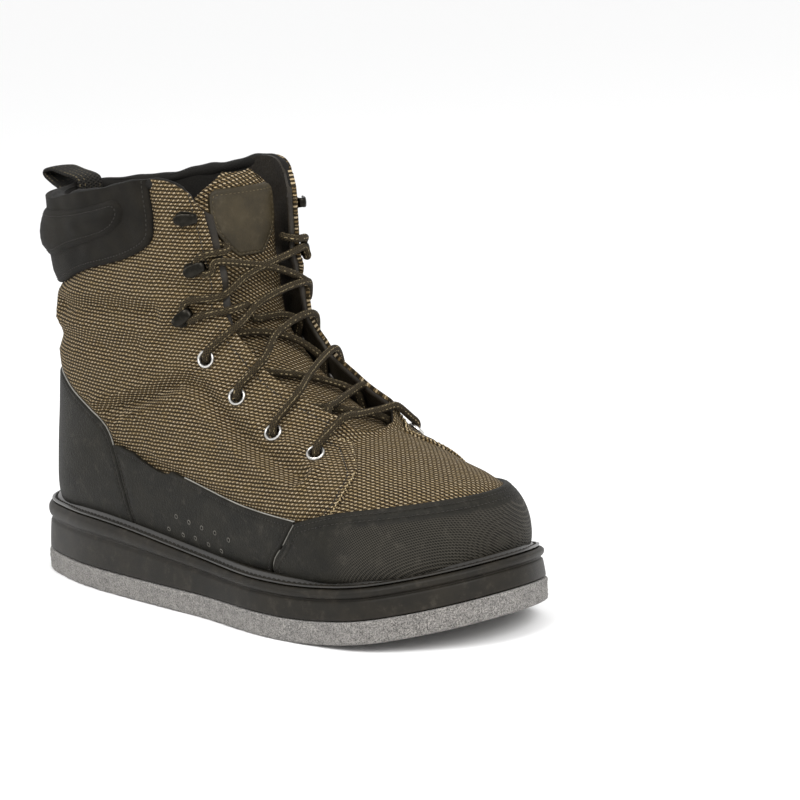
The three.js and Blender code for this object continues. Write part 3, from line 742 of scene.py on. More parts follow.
class Graph:
    """One material's nodes in the making."""

    def __init__(self, name: str) -> None:
        """Start an empty material."""
        self.material = bpy.data.materials.new(name)
        self.material.use_nodes = True
        self.nodes = self.material.node_tree.nodes
        self.links = self.material.node_tree.links
        self.nodes.clear()

    def node(self, kind: str, inputs: dict, **settings: object) -> bpy.types.Node:
        """Add a node, its inputs linked or set."""
        node = self.nodes.new("ShaderNode" + kind)
        for key, value in settings.items():
            setattr(node, key, value)
        for key, value in inputs.items():
            socket = node.inputs[key]
            if isinstance(value, Socket):
                self.links.new(value, socket)
            elif socket.type == "RGBA":
                socket.default_value = (*value, 1.0)
            else:
                socket.default_value = value
        return node

    def math(self, operation: str, *values: Input) -> Socket:
        """Return a sum done on values."""
        return self.node("Math", dict(enumerate(values)), operation=operation).outputs[0]

    def mix(self, share: Input, start: Input, end: Input) -> Socket:
        """Return a colour between two."""
        return self.node("Mix", {0: share, 6: start, 7: end}, data_type="RGBA").outputs[2]

    def step(self, value: Socket, low: float, high: float) -> Socket:
        """Return 0 to 1 as a value eases from low to high."""
        inputs = {"Value": value, "From Min": low, "From Max": high}
        return self.node("MapRange", inputs, interpolation_type="SMOOTHSTEP").outputs[0]

    def spot(self) -> Socket:
        """Return the point on the piece, in millimetres."""
        coords = self.node("TexCoord", {}).outputs["Object"]
        return self.node("VectorMath", {0: coords, "Scale": 1000.0}, operation="SCALE").outputs[0]

    def split_uv(self) -> tuple[Socket, Socket]:
        """Return the two UV coordinates."""
        coords = self.node("TexCoord", {}).outputs["UV"]
        parts = self.node("SeparateXYZ", {0: coords}).outputs
        return parts[0], parts[1]

    def noise(self, size: float, detail: float = 3.0, roughness: float = 0.6) -> Socket:
        """Return a soft noise with features of a size in millimetres."""
        inputs = {"Vector": self.spot(), "Scale": 1 / size, "Detail": detail, "Roughness": roughness}
        return self.node("TexNoise", inputs).outputs[0]

    def cells(self, size: float) -> Socket:
        """Return distances inside cells of a size in millimetres."""
        return self.node("TexVoronoi", {"Vector": self.spot(), "Scale": 1 / size}).outputs["Distance"]

    def bump(self, height: Socket, depth: float, under: Optional[Socket] = None) -> Socket:
        """Return directions bent by a height of a depth in millimetres."""
        inputs = {"Height": height, "Distance": depth * MM, "Strength": 1.0}
        if under is not None:
            inputs["Normal"] = under
        return self.node("Bump", inputs).outputs[0]

    def finish(self, **inputs: Input) -> bpy.types.Material:
        """Close the material with a surface."""
        named = {key.replace("_", " "): value for key, value in inputs.items()}
        surface = self.node("BsdfPrincipled", named)
        self.node("OutputMaterial", {"Surface": surface.outputs[0]})
        return self.material


@dataclass(frozen=True)
class Grain:
    """A finish with blotches, a grain and a sheen: leather, plush, felt, rubber, thread."""

    name: str
    dark: Colour
    light: Colour
    blotch: float = 14.0
    grain: float = 0.7
    depth: float = 0.12
    rough: float = 0.7
    sheen: float = 0.0
    coat: float = 0.0
    metal: float = 0.0
    pebbled: bool = False
    speckle: float = 0.25
    dust: float = 0.0
    canvas: bool = False
    sharp: bool = False
    shine: float = 0.22

    def make(self) -> bpy.types.Material:
        """Build the material."""
        graph = Graph(self.name)
        blotch = graph.step(graph.noise(self.blotch, 5.0, 0.65), 0.3, 0.7)
        fine = graph.noise(self.grain, 4.0, 0.7)
        if self.sharp:
            fine = graph.step(fine, 0.36, 0.64)
        broad = graph.math("MULTIPLY", blotch, 1 - self.speckle)
        share = graph.math("ADD", broad, graph.math("MULTIPLY", fine, self.speckle))
        colour = graph.mix(share, self.dark, self.light)
        height = graph.math("ADD", fine, graph.cells(self.grain * 2.4)) if self.pebbled else fine
        if self.dust:
            worn = graph.math("MULTIPLY", graph.step(graph.noise(6.0, 8.0, 0.75), 0.52, 0.72), self.dust)
            colour = graph.mix(worn, colour, shade(150, 142, 128))
        if self.canvas:
            u, v = graph.split_uv()
            along = graph.math("SINE", graph.math("MULTIPLY", graph.math("ADD", u, v), 4.6))
            across = graph.math("SINE", graph.math("MULTIPLY", graph.math("SUBTRACT", u, v), 4.6))
            twill = graph.math("MULTIPLY", graph.math("MAXIMUM", along, across), 1.6)
            mask = graph.node("Attribute", {}, attribute_name="canvas").outputs["Fac"]
            height = graph.math("ADD", height, graph.math("MULTIPLY", twill, mask))
            # Lighter on the raised twill: painted highlight on the canvas emboss
            lifted = graph.math("MULTIPLY", graph.math("MULTIPLY", graph.step(twill, 0.5, 1.5), mask), 0.5)
            colour = graph.mix(lifted, colour, shade(74, 70, 62))
        rough = graph.math("ADD", graph.math("MULTIPLY", fine, 0.22), self.rough - 0.11)
        return graph.finish(
            Base_Color=colour, Roughness=rough, Normal=graph.bump(height, self.depth), Metallic=self.metal,
            Sheen_Weight=self.sheen, Sheen_Roughness=0.5, Coat_Weight=self.coat, Coat_Roughness=0.35,
            Specular_IOR_Level=self.shine,
        )


@dataclass(frozen=True)
class Weave:
    """Coarse brown cloth with light flecks laid like bricks; its UVs are millimetres."""

    name: str = "weave"
    row: float = 1.75
    pitch: float = 2.45
    stagger: float = 0.43

    def fleck(self, graph: Graph, along: Socket, across: Socket, long: float, tall: float) -> Socket:
        """Return a slanted oval in each cell."""
        slant = graph.math("SUBTRACT", along, graph.math("MULTIPLY", across, 0.8))
        wide = graph.math("POWER", graph.math("ABSOLUTE", graph.math("DIVIDE", slant, long)), 2.0)
        high = graph.math("POWER", graph.math("ABSOLUTE", graph.math("DIVIDE", across, tall)), 2.0)
        return graph.step(graph.math("ADD", wide, high), 1.35, 0.45)

    def make(self) -> bpy.types.Material:
        """Build the material."""
        graph = Graph(self.name)
        u, v = graph.split_uv()
        drift = graph.noise(5.0, 2.0)
        v = graph.math("ADD", v, graph.math("MULTIPLY", drift, 0.9))
        u = graph.math("ADD", u, graph.math("MULTIPLY", graph.noise(3.1, 2.0), 1.0))
        rows = graph.math("DIVIDE", v, self.row)
        row = graph.math("FLOOR", rows)
        across = graph.math("MULTIPLY", graph.math("SUBTRACT", graph.math("FRACT", rows), 0.5), self.row)
        shift = graph.math("MULTIPLY", row, self.stagger)
        columns = graph.math("ADD", graph.math("DIVIDE", u, self.pitch), shift)
        column = graph.math("FLOOR", columns)
        middle = graph.math("SUBTRACT", graph.math("FRACT", columns), 0.5)
        along = graph.math("MULTIPLY", middle, self.pitch)
        cell = graph.node("CombineXYZ", {0: column, 1: row}).outputs[0]
        chance = graph.node("TexWhiteNoise", {"Vector": cell}, noise_dimensions="2D").outputs
        shifted = graph.math("FRACT", graph.math("ADD", columns, 0.5))
        beside = graph.math("MULTIPLY", graph.math("SUBTRACT", shifted, 0.5), self.pitch)
        light = self.fleck(graph, along, across, 0.62, 0.5)
        second = self.fleck(graph, beside, across, 0.42, 0.66)
        fray = graph.noise(0.35, 3.0)
        ground = graph.mix(graph.step(graph.noise(9.0), 0.3, 0.7), shade(27, 21, 11), shade(42, 34, 19))
        tan = graph.mix(fray, shade(86, 70, 45), shade(117, 98, 67))
        colour = graph.mix(graph.math("MULTIPLY", second, 0.9), ground, tan)
        pale = graph.mix(chance[0], shade(196, 177, 146), shade(156, 136, 101))
        varied = graph.math("ADD", graph.math("MULTIPLY", chance[0], 0.3), 0.66)
        worn = graph.math("ADD", graph.math("MULTIPLY", fray, 0.7), 0.6)
        bright = graph.math("MULTIPLY", graph.math("MULTIPLY", light, varied), worn)
        colour = graph.mix(bright, colour, pale)
        thread = graph.math("ADD", graph.math("MULTIPLY", second, 0.7), light)
        height = graph.math("ADD", thread, graph.math("MULTIPLY", fray, 0.45))
        relief = graph.bump(height, 0.42)
        return graph.finish(Base_Color=colour, Roughness=0.9, Normal=relief, Specular_IOR_Level=0.15)


@dataclass(frozen=True)
class Cord:
    """Braided lace or ribbed webbing; U runs along it in millimetres and V round it."""

    name: str
    dark: Colour
    light: Colour
    pitch: float = 1.5
    strands: int = 8
    depth: float = 0.22
    flecks: float = 0.85

    def make(self) -> bpy.types.Material:
        """Build the material."""
        graph = Graph(self.name)
        u, v = graph.split_uv()
        turn = graph.math("MULTIPLY", v, 2 * math.pi * self.strands)
        along = graph.math("MULTIPLY", u, 2 * math.pi / self.pitch)
        right = graph.math("SINE", graph.math("ADD", along, turn))
        left = graph.math("SINE", graph.math("SUBTRACT", along, turn))
        braid = graph.math("MAXIMUM", right, left)
        columns = graph.math("FLOOR", graph.math("DIVIDE", u, self.pitch))
        strand = graph.math("FLOOR", graph.math("MULTIPLY", v, self.strands / 2))
        cell = graph.node("CombineXYZ", {0: columns, 1: strand}).outputs[0]
        chance = graph.node("TexWhiteNoise", {"Vector": cell}, noise_dimensions="2D").outputs[0]
        fray = graph.noise(0.4, 3.0)
        # Darker in the braid's grooves, lighter on its crowns: painted shade and highlight following the relief
        colour = graph.mix(graph.step(braid, -0.4, 0.9), self.dark, self.light)
        lines = graph.step(graph.math("SINE", graph.math("MULTIPLY", v, 2 * math.pi * 5)), 0.7, 0.95)
        wave = graph.math("MULTIPLY", u, 2 * math.pi / 2.3)
        dashes = graph.math("SINE", graph.math("ADD", wave, graph.math("MULTIPLY", strand, 2.1)))
        dashed = graph.math("MULTIPLY", lines, graph.step(dashes, -0.5, 0.3))
        spotted = graph.math("MULTIPLY", dashed, graph.step(chance, 0.2, 0.7))
        colour = graph.mix(graph.math("MULTIPLY", spotted, self.flecks), colour, shade(158, 142, 108))
        height = graph.math("ADD", braid, graph.math("MULTIPLY", fray, 0.5))
        relief = graph.bump(height, self.depth)
        return graph.finish(Base_Color=colour, Roughness=0.85, Normal=relief, Specular_IOR_Level=0.2)


Recipe = Union[Grain, Weave, Cord]


def made(recipe: Recipe) -> bpy.types.Material:
    """Return a field whose material is made from a recipe when the finishes are."""
    return field(default_factory=recipe.make)


@dataclass
class Finishes:
    """All the boot's materials, made once."""

    weave: bpy.types.Material = made(Weave())
    lace: bpy.types.Material = made(Cord("lace braid", shade(20, 16, 9), shade(52, 43, 26)))
    webbing: bpy.types.Material = made(Cord(
        "webbing", shade(16, 15, 13), shade(36, 34, 30), 1.6, 5, 0.3, 0.3
    ))
    panel: bpy.types.Material = made(Grain(
        "panel", shade(16, 15, 11), shade(29, 27, 21), 16, 0.45, 0.14, 0.6, pebbled=True, dust=0.06,
        shine=0.16, canvas=True
    ))
    plush: bpy.types.Material = made(Grain(
        "plush", shade(12, 10, 7), shade(27, 24, 18), 18, 0.5, 0.2, 0.82, sheen=0.02, shine=0.14
    ))
    lining: bpy.types.Material = made(Grain(
        "lining", shade(12, 11, 9), shade(25, 23, 20), 20, 0.5, 0.12, 0.75, sheen=0.02, shine=0.14,
        pebbled=True
    ))
    facing: bpy.types.Material = made(Grain(
        "facing", shade(24, 20, 15), shade(40, 35, 27), 16, 0.6, 0.1, 0.5, pebbled=True
    ))
    patch: bpy.types.Material = made(Grain(
        "patch leather", shade(37, 31, 18), shade(56, 48, 31), 12, 0.5, 0.1, 0.5, pebbled=True, dust=0.04
    ))
    rubber: bpy.types.Material = made(Grain(
        "rubber", shade(18, 16, 11), shade(31, 27, 20), 12, 0.3, 0.05, 0.5, dust=0.05, speckle=0.15,
        shine=0.2
    ))
    welt: bpy.types.Material = made(Grain(
        "welt rubber", shade(18, 16, 11), shade(30, 26, 19), 12, 0.3, 0.04, 0.36, coat=0.5, speckle=0.15,
        shine=0.35
    ))
    felt: bpy.types.Material = made(Grain(
        "felt", shade(54, 51, 47), shade(172, 167, 161), 4, 0.7, 0.5, 0.95, sheen=0.3, speckle=0.75,
        sharp=True
    ))
    insole: bpy.types.Material = made(Grain(
        "insole cloth", shade(30, 30, 28), shade(48, 48, 45), 15, 0.45, 0.2, 0.9, sheen=0.2
    ))
    piping: bpy.types.Material = made(Grain(
        "piping", shade(112, 110, 104), shade(150, 147, 140), 8, 0.3, 0.05, 0.6
    ))
    thread: bpy.types.Material = made(Grain(
        "thread", shade(20, 18, 15), shade(40, 37, 31), 4, 0.25, 0.08, 0.7, sheen=0.1
    ))
    rim: bpy.types.Material = made(Grain(
        "hole rim", shade(66, 64, 58), shade(98, 95, 88), 5, 0.3, 0.04, 0.4
    ))
    # Near-black: painted shade standing in for the hollows of the rands' small holes
    hole: bpy.types.Material = made(Grain("hole", shade(8, 8, 7), shade(14, 13, 12), 5, 0.3, 0.04, 0.9))
    # Pale flecks for the cloth's edges; on the flaps' folded edge they are painted highlight of the fold
    fleck: bpy.types.Material = made(Grain(
        "fleck", shade(120, 104, 72), shade(206, 188, 150), 3, 0.4, 0.08, 0.8
    ))
    pale_thread: bpy.types.Material = made(Grain(
        "pale thread", shade(58, 50, 36), shade(88, 78, 58), 4, 0.25, 0.08, 0.7
    ))
    silver: bpy.types.Material = made(Grain(
        "silver", shade(178, 176, 172), shade(205, 203, 199), 3, 0.3, 0.01, 0.3, metal=1.0, shine=0.5
    ))
    gunmetal: bpy.types.Material = made(Grain(
        "gunmetal", shade(24, 23, 20), shade(44, 42, 38), 4, 0.3, 0.015, 0.3, metal=1.0, shine=0.5
    ))


class Outline:
    """A closed side view outline on both sides of the boot."""

    def __init__(self, *rows: tuple[float, float]) -> None:
        """Keep the corners, given as shares of the sole length and rises, in millimetres."""
        self.loop = side_view(rows)

    def __call__(self, spots: Spots) -> Array:
        """Return how far inside the outline spots lie."""
        return inside(self.loop, spots.x, spots.z)


def curve(*rows: tuple[float, float]) -> list[tuple[float, float]]:
    """Return a smooth line's samples as shares and rises."""
    return [tuple(row) for row in smooth_path(np.array(rows) * (1, 0.3), 0.012) / (1, 0.3)]


COUNTER_TOP = curve((-0.1, 0.76), (0.1, 0.735), (0.182, 0.643), (0.261, 0.52), (0.283, 0.43))
COUNTER_FRONT = curve((0.283, 0.43), (0.306, 0.245), (0.322, 0.05), (0.345, -0.5))
RAND_TOP = curve((0.283, 0.43), (0.34, 0.388), (0.48, 0.306), (0.604, 0.235), (0.733, 0.204))
CAP_SIDE = curve((0.733, 0.204), (0.71, 0.09), (0.673, -0.06), (0.62, -0.5))
CAP_TOP = curve((0.733, 0.204), (0.8, 0.262), (0.874, 0.293), (0.94, 0.315), (1.05, 0.33))
CUFF_EDGE = curve(
    (0.4, 2.5), (0.406, 2.12), (0.412, 1.86), (0.403, 1.69), (0.346, 1.56), (0.245, 1.446), (0.154, 1.31),
    (0.05, 1.24), (-0.1, 1.22),
)
PAD_EDGE = curve(
    (-0.1, 1.86), (0.176, 1.89), (0.289, 1.96), (0.345, 2.01), (0.36, 1.9), (0.327, 1.74), (0.226, 1.615),
    (0.13, 1.5), (-0.1, 1.46),
)
QUARTER_EDGE = curve(
    (0.713, 0.62), (0.713, 0.556), (0.729, 0.533), (0.755, 0.49), (0.791, 0.421), (0.797, 0.365),
    (0.799, 0.309), (0.796, 0.267), (0.78, 0.2), (0.74, -0.1), (0.72, -0.5),
)
COUNTER = Outline(*COUNTER_TOP, *COUNTER_FRONT[1:], (-0.1, -0.5))
RAND = Outline(*COUNTER_FRONT[::-1], *RAND_TOP[1:], *CAP_SIDE[1:])
CAP = Outline(*CAP_SIDE[::-1], *CAP_TOP[1:], (1.05, -0.5))
CUFF = Outline(*CUFF_EDGE, (-0.1, 2.5))
PAD = Outline(*PAD_EDGE)
PANELS = Outline(*COUNTER_TOP, *RAND_TOP[1:], *CAP_TOP[1:], (1.05, -0.5), (-0.1, -0.5))
QUARTER = Outline((-0.1, 2.6), (0.713, 2.6), *QUARTER_EDGE, (-0.1, -0.5))
COLLAR = Line(
    [(-0.1, 2), (0.03, 2), (0.157, 2), (0.23, 2.06), (0.314, 2.12), (0.393, 2.19), (0.44, 2.18),
     (0.472, 2.09), (0.494, 1.94), (0.6, 1.5)]
)

# Soft folds in side view: the line, its trough's depth, half width, and the height of the ridge above it
CREASES = (
    (
        Line([(0.255, 0.561), (0.32, 0.625), (0.388, 0.69), (0.429, 0.745), (0.463, 0.773), (0.497, 0.741),
              (0.532, 0.655), (0.59, 0.535), (0.643, 0.469), (0.713, 0.397)]),
        3.5, 3.0, 2.2,
    ),
    (Line([(0.162, 1.121), (0.234, 1.151), (0.299, 1.172), (0.347, 1.168), (0.399, 1.161)]), 2.3, 3.8, 1.5),
    (Line([(0.11, 0.92), (0.2, 0.93), (0.29, 0.9), (0.36, 0.93)]), 1.3, 4.2, 1.0),
    (Line([(0.36, 0.5), (0.45, 0.47), (0.55, 0.4), (0.63, 0.34)]), 1.1, 3.6, 0.7),
    (Line([(0.42, 1.42), (0.455, 1.36), (0.5, 1.33)]), 1.2, 3.2, 0.8),
)


def above_seat(spots: Spots) -> Array:
    """Return heights above the sole's top."""
    return spots.z - SIZES.seat(spots.x) - SIZES.gap


def below_collar(spots: Spots) -> Array:
    """Return how far spots lie below the collar's edge."""
    edge = np.interp(spots.x, COLLAR.points[:, 0], COLLAR.points[:, 1])
    return edge + SIZES.collar_tilt * spots.y - spots.z


def off_throat(spots: Spots) -> Array:
    """Return how far spots lie from the throat's edge."""
    reach = LAST.from_middle(spots.place, spots.angle) - LAST.throat_half(spots.place)
    reach = np.where(np.sin(np.radians(spots.angle)) > 0, reach, 100.0)
    return np.maximum(reach, (THROAT_START - spots.place) * PLACE_LENGTH)


def drape(spots: Spots) -> Array:
    """Return how the cloth sinks and swells by the listed folds and slight waves."""
    height = np.zeros_like(spots.x)
    near = np.where(spots.y < 0, 1.0, 0.8)
    for line, depth, width, ridge in CREASES:
        distance = line.distance(spots.x, spots.z)
        height -= near * depth * np.exp(-((distance / width) ** 2))
        height += near * ridge * np.exp(-(((distance - 2.1 * width) / (0.9 * width)) ** 2))
    x, y, z = spots.x, spots.y, spots.z
    height += 0.35 * np.sin(x / 11 + z / 17 + np.sign(y)) * np.sin(z / 9 - x / 23 + y / 31)
    height += 0.2 * np.sin(x / 5.3 - z / 8 + y / 9) * np.sin(z / 4.7 + x / 13)
    free = smooth(above_seat(spots) / 14) * smooth((off_throat(spots) + 6) / 12)
    free = free * smooth((clear_of_eyelets(spots) - 1.5) / 6)
    return height * free * (0.06 + 0.94 * smooth((-PANELS(spots) - 0.5) / 7))


def lay(skin: Skin, height: Union[float, Array]) -> Array:
    """Return a skin's corners at heights over the draped wall."""
    return skin.lay(drape(skin.spots) + height)


@dataclass(frozen=True)
class Fastening:
    """An eyelet or hook: the section it sits on and its distance from the flap's edge."""

    place: float
    setback: float
    hook: bool


FASTENINGS = (
    Fastening(5, 17.5, False),
    Fastening(5.95, 14, False),
    Fastening(7, 10.8, False),
    Fastening(8.2, 10, False),
    Fastening(10.8, 10.5, True),
    Fastening(13.55, 6.5, True),
    Fastening(16.1, 5, True),
)


# Shares of the sole length and rises of the small holes in each side rand
PERFORATIONS = (
    (0.446, 0.096), (0.479, 0.079), (0.511, 0.065), (0.543, 0.054), (0.578, 0.036),
    (0.422, 0.021), (0.457, 0.007), (0.49, 0.003), (0.522, -0.012), (0.553, -0.03),
)


class Side(Enum):
    """A side of the foot, with the node names' word for it."""

    OUTER = "outer"
    INNER = "inner"

    def turn(self, angle: float) -> float:
        """Return an outer side angle as this side's."""
        return angle if self is Side.OUTER else 180 - angle


@dataclass(frozen=True)
class Seat:
    """Local axes on the wall: x away from the throat, y off the face, z up the boot."""

    point: Array
    away: Array
    face: Array
    up: Array

    @classmethod
    def of(cls, fastening: Fastening, side: Side) -> "Seat":
        """Return the seat of a fastening."""
        distance = LAST.throat_half(np.array(fastening.place)) + fastening.setback
        angle = side.turn(float(LAST.angle_at(np.array(fastening.place), distance)))
        point, away, face, sideways = LAST.wall_frame(fastening.place, angle, 0.0)
        climb = LAST.wall(np.array(fastening.place + 0.05), np.array(angle)) - point
        return cls(point, away, face, sideways * np.sign(sideways @ climb))

    def at(self, x: float, y: float, z: float = 0.0) -> Array:
        """Return a point given along the seat's axes."""
        return self.point + self.away * x + self.face * y + self.up * z

    def place_all(self, local: Array) -> Array:
        """Return points given along the seat's axes."""
        return self.point + local @ np.stack([self.away, self.face, self.up])


# The radius cut out of the cloth round an eyelet, and how far the cloth tucks under a panel
EYELET_HOLE = 2.75
TUCK = 4.0

SEATS = {(side, index): Seat.of(row, side) for side in Side for index, row in enumerate(FASTENINGS)}


def clear_of_eyelets(spots: Spots) -> Array:
    """Return distances past the rims of the eyelet holes."""
    best = np.full(np.shape(spots.x), 100.0)
    for (side, index), seat in SEATS.items():
        if not FASTENINGS[index].hook:
            x, y, z = seat.point
            gap = np.sqrt((spots.x - x) ** 2 + (spots.y - y) ** 2 + (spots.z - z) ** 2)
            best = np.minimum(best, gap - EYELET_HOLE)
    return best


def dress(piece: bpy.types.Object, material: bpy.types.Material, node: str, slot: str) -> bpy.types.Object:
    """Give a piece its material and its body, and hide the solid of its node."""
    piece.data.materials.append(material)
    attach(piece, ROOT)
    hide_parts(node)
    log.info("%s: %d faces in place of %s", piece.name, len(piece.data.polygons), node)
    return piece


def unroll(skin: Skin, points: Array) -> Array:
    """Unroll a skin flat in millimetres, level rows along X on the outer side.

    Args:
        skin: the skin.
        points: its corners.

    Returns:
        The flat coordinates of each corner.
    """
    mesh = bpy.data.meshes.new("unroll")
    mesh.from_pydata((points * MM).tolist(), [], skin.faces)
    piece = bpy.data.objects.new("unroll", mesh)
    bpy.context.scene.collection.objects.link(piece)
    bpy.context.view_layer.objects.active = piece
    piece.select_set(True)
    mesh.uv_layers.new(name="UVMap")
    bpy.ops.object.mode_set(mode="EDIT")
    bpy.ops.mesh.select_all(action="SELECT")
    bpy.ops.uv.unwrap(method="ANGLE_BASED", margin=0.0)
    bpy.ops.object.mode_set(mode="OBJECT")
    loops = np.zeros(len(mesh.loops) * 2, np.float32)
    mesh.uv_layers[0].data.foreach_get("uv", loops)
    corners = np.zeros(len(mesh.loops), np.int32)
    mesh.loops.foreach_get("vertex_index", corners)
    flat = np.zeros((len(points), 2))
    flat[corners] = loops.reshape(-1, 2)
    bpy.data.objects.remove(piece)
    bpy.data.meshes.remove(mesh)
    pairs = np.array([edge for face in skin.faces for edge in zip(face, face[1:] + face[:1])])
    solid = points[pairs[:, 1]] - points[pairs[:, 0]]
    laid = flat[pairs[:, 1]] - flat[pairs[:, 0]]
    scale = np.median(np.linalg.norm(solid, axis=1)) / np.median(np.linalg.norm(laid, axis=1))
    level = np.abs(solid[:, 0]) > 2 * np.abs(solid[:, 2])
    side = (points[pairs[:, 0], 1] < -20) & level & (solid[:, 0] > 0)
    heading = laid[side].sum(axis=0) if side.any() else np.array([1.0, 0.0])
    angle = math.atan2(heading[1], heading[0])
    turn = np.array([[math.cos(angle), -math.sin(angle)], [math.sin(angle), math.cos(angle)]])
    return flat @ turn * scale


@dataclass
class Shell:
    """The upper's cloth, lining, panels, cuff and pad."""

    finishes: Finishes
    toe_rows: int = 74
    toe_end: float = 5.4
    shaft_rows: int = 116
    columns: int = 241
    whole: Skin = field(init=False)
    base: Skin = field(init=False)

    def __post_init__(self) -> None:
        """Lay the whole skin, cut at the sole, the collar and the throat."""
        places = self.places(LAST.top, self.shaft_rows)
        angles = np.linspace(90, 450, self.columns)
        self.whole = Skin.grid(places, angles).cut(above_seat).cut(below_collar)
        self.base = self.whole.cut(off_throat)

    def places(self, end: float, rows: int) -> Array:
        """Return the places of a grid's rows, close together at the toe."""
        toe = np.linspace(0.0, self.toe_end, self.toe_rows + 1)[:-1]
        return np.concatenate([toe, np.linspace(self.toe_end, end, rows)])

    @staticmethod
    def lining_depth(place: Array, angle: Array) -> Array:
        """Return the lining's offset: padded round the collar's back."""
        fold = np.degrees(np.arcsin(np.sin(np.radians(angle))))
        back = smooth((25 - fold) / 50)
        return -SIZES.wall - SIZES.padding * smooth((place - 13) / 3) * back

    def vamp(self) -> bpy.types.Object:
        """Build the cloth over the forefoot, tucked under the quarters' front edge."""
        angles = np.linspace(-90, 270, self.columns)
        skin = Skin.grid(self.places(11, 60), angles).cut(above_seat).cut(off_throat)
        skin = skin.cut(lambda s: TUCK - QUARTER(s)).cut(lambda s: TUCK - PANELS(s)).cut(clear_of_eyelets)
        skin = skin.score(QUARTER, (-1.6, -0.7, 0.0)).score(off_throat, (0.3, 0.9, 2.2))
        depth = QUARTER(skin.spots)
        height = -0.25 * np.exp(-((depth / 1.3) ** 2)) - 0.6 * (1 - rolled(off_throat(skin.spots), 1.3))
        top = lay(skin, height)
        shape = closed_sheet(skin, top, lay(skin, -0.85), unroll(skin, top))
        return dress(shape.build("vamp", 50), self.finishes.weave, "upper", "cloth")

    @staticmethod
    def under(spots: Spots) -> Array:
        """Return how far spots lie under the panels or the cuff."""
        return np.maximum(PANELS(spots), CUFF(spots))

    def clear(self, spots: Spots) -> Array:
        """Return 1 where the cloth is free, falling to 0 at a panel's edge."""
        return 1 - smooth((self.under(spots) + TUCK) / TUCK)

    def cloth(self) -> bpy.types.Object:
        """Build the quarters, with their turned-in front edge."""
        skin = self.base.cut(QUARTER).cut(lambda s: TUCK - self.under(s)).cut(clear_of_eyelets)
        skin = skin.score(QUARTER, (0.06, 0.22, 0.5, 0.9, 1.6, 2.6, 3.4))
        skin = skin.score(off_throat, (0.3, 0.9, 2.2, 3.4)).score(self.under, (-3.0, -1.2, 0.0))
        depth = QUARTER(skin.spots)
        seam = np.exp(-(((depth - 2.6) / 0.6) ** 2)) * 0.3
        covered = self.under(skin.spots)
        height = (0.1 + 1.35 * rolled(depth, 0.9) - seam) * self.clear(skin.spots)
        height -= 0.6 * smooth((covered + 1.2) / 1.8)
        rim = off_throat(skin.spots)
        height = height - 0.75 * (1 - rolled(rim, 1.3)) - 0.35 * np.exp(-(((rim - 3.0) / 0.7) ** 2))
        top = lay(skin, height)
        shape = closed_sheet(skin, top, lay(skin, -0.85), unroll(skin, top))
        piece = dress(shape.build("quarters", 50), self.finishes.weave, "upper", "cloth")
        self.rows_of_stitches(skin)
        return piece

    def rows_of_stitches(self, skin: Skin) -> None:
        """Sew the quarters' front edge and the flaps' edges."""
        def top(spots: Spots) -> Array:
            """Return the height of the thread."""
            return 1.3 * self.clear(spots) + drape(spots)

        def fold(spots: Spots) -> Array:
            """Return the height of the flecks on the quarters' turned edge."""
            return 1.15 * self.clear(spots) + drape(spots)

        thread = sew(skin, QUARTER, 2.6, top, pitch=2.4, length=1.8, radius=0.28)
        flaps = sew(skin, off_throat, 3.4, top, pitch=2.4, length=1.8, radius=0.28)
        dress(thread.joined(flaps).build("quarter stitches"), self.finishes.thread, "upper", "cloth")
        # Pale flecks along the quarters' turned edge
        edge = sew(skin, QUARTER, 0.5, fold, pitch=1.9, length=1.1, radius=0.3)
        # Along the flaps' folded edge the pale flecks are painted highlight where the fold catches the light
        rim = sew(skin, off_throat, 0.9, lambda s: 0.9 + drape(s), pitch=2.1, length=1.1, radius=0.28)
        dress(edge.joined(rim).build("edge flecks"), self.finishes.fleck, "upper", "cloth")

    def lining(self) -> bpy.types.Object:
        """Build the lining under all of the cloth."""
        skin = self.base.cut(clear_of_eyelets)
        skin = skin.cut(lambda s: np.maximum(off_throat(s) - 0.8, 26 * (s.place < THROAT_START)))
        depth = self.lining_depth(skin.place, skin.angle)
        shape = closed_sheet(skin, lay(skin, -0.95), lay(skin, depth))
        return dress(shape.build("lining", 50), self.finishes.lining, "upper", "lining")

    def facing(self) -> bpy.types.Object:
        """Build the smooth leather inside the flaps, standing a little past their edges."""
        width = 30.0

        def past(spots: Spots) -> Array:
            """Return the distance past the facing's free edge."""
            reach = LAST.from_middle(spots.place, spots.angle) - LAST.throat_half(spots.place)
            show = 0.4 + 2.6 * smooth((spots.place - 8) / 2)
            return np.maximum(reach + show, (THROAT_START - spots.place) * PLACE_LENGTH)

        def upper(spots: Spots) -> Array:
            """Return 1 on the last's upper half and -1 below it."""
            return np.where(np.sin(np.radians(spots.angle)) > 0, 1.0, -1.0)

        skin = self.whole.cut(upper).cut(past).cut(lambda s: width - off_throat(s))
        skin = skin.cut(lambda s: s.place - THROAT_START - 0.02)
        skin = skin.cut(clear_of_eyelets).score(past, (0.15, 0.5, 1.1, 2.0))
        border = past(skin.spots)
        round_off = 0.7 * (1 - rolled(border, 1.1))
        inner = off_throat(skin.spots)
        fall = smooth((inner - width + 4) / 4)
        middle = -SIZES.wall - 0.1
        front = np.where(inner < 0.8, -0.9 - round_off, middle + 0.2)
        back = middle - 1.0 + round_off * 0.6 + fall * 0.9
        shape = closed_sheet(skin, lay(skin, front), lay(skin, back))
        return dress(shape.build("flap facing", 50), self.finishes.facing, "upper", "lining")

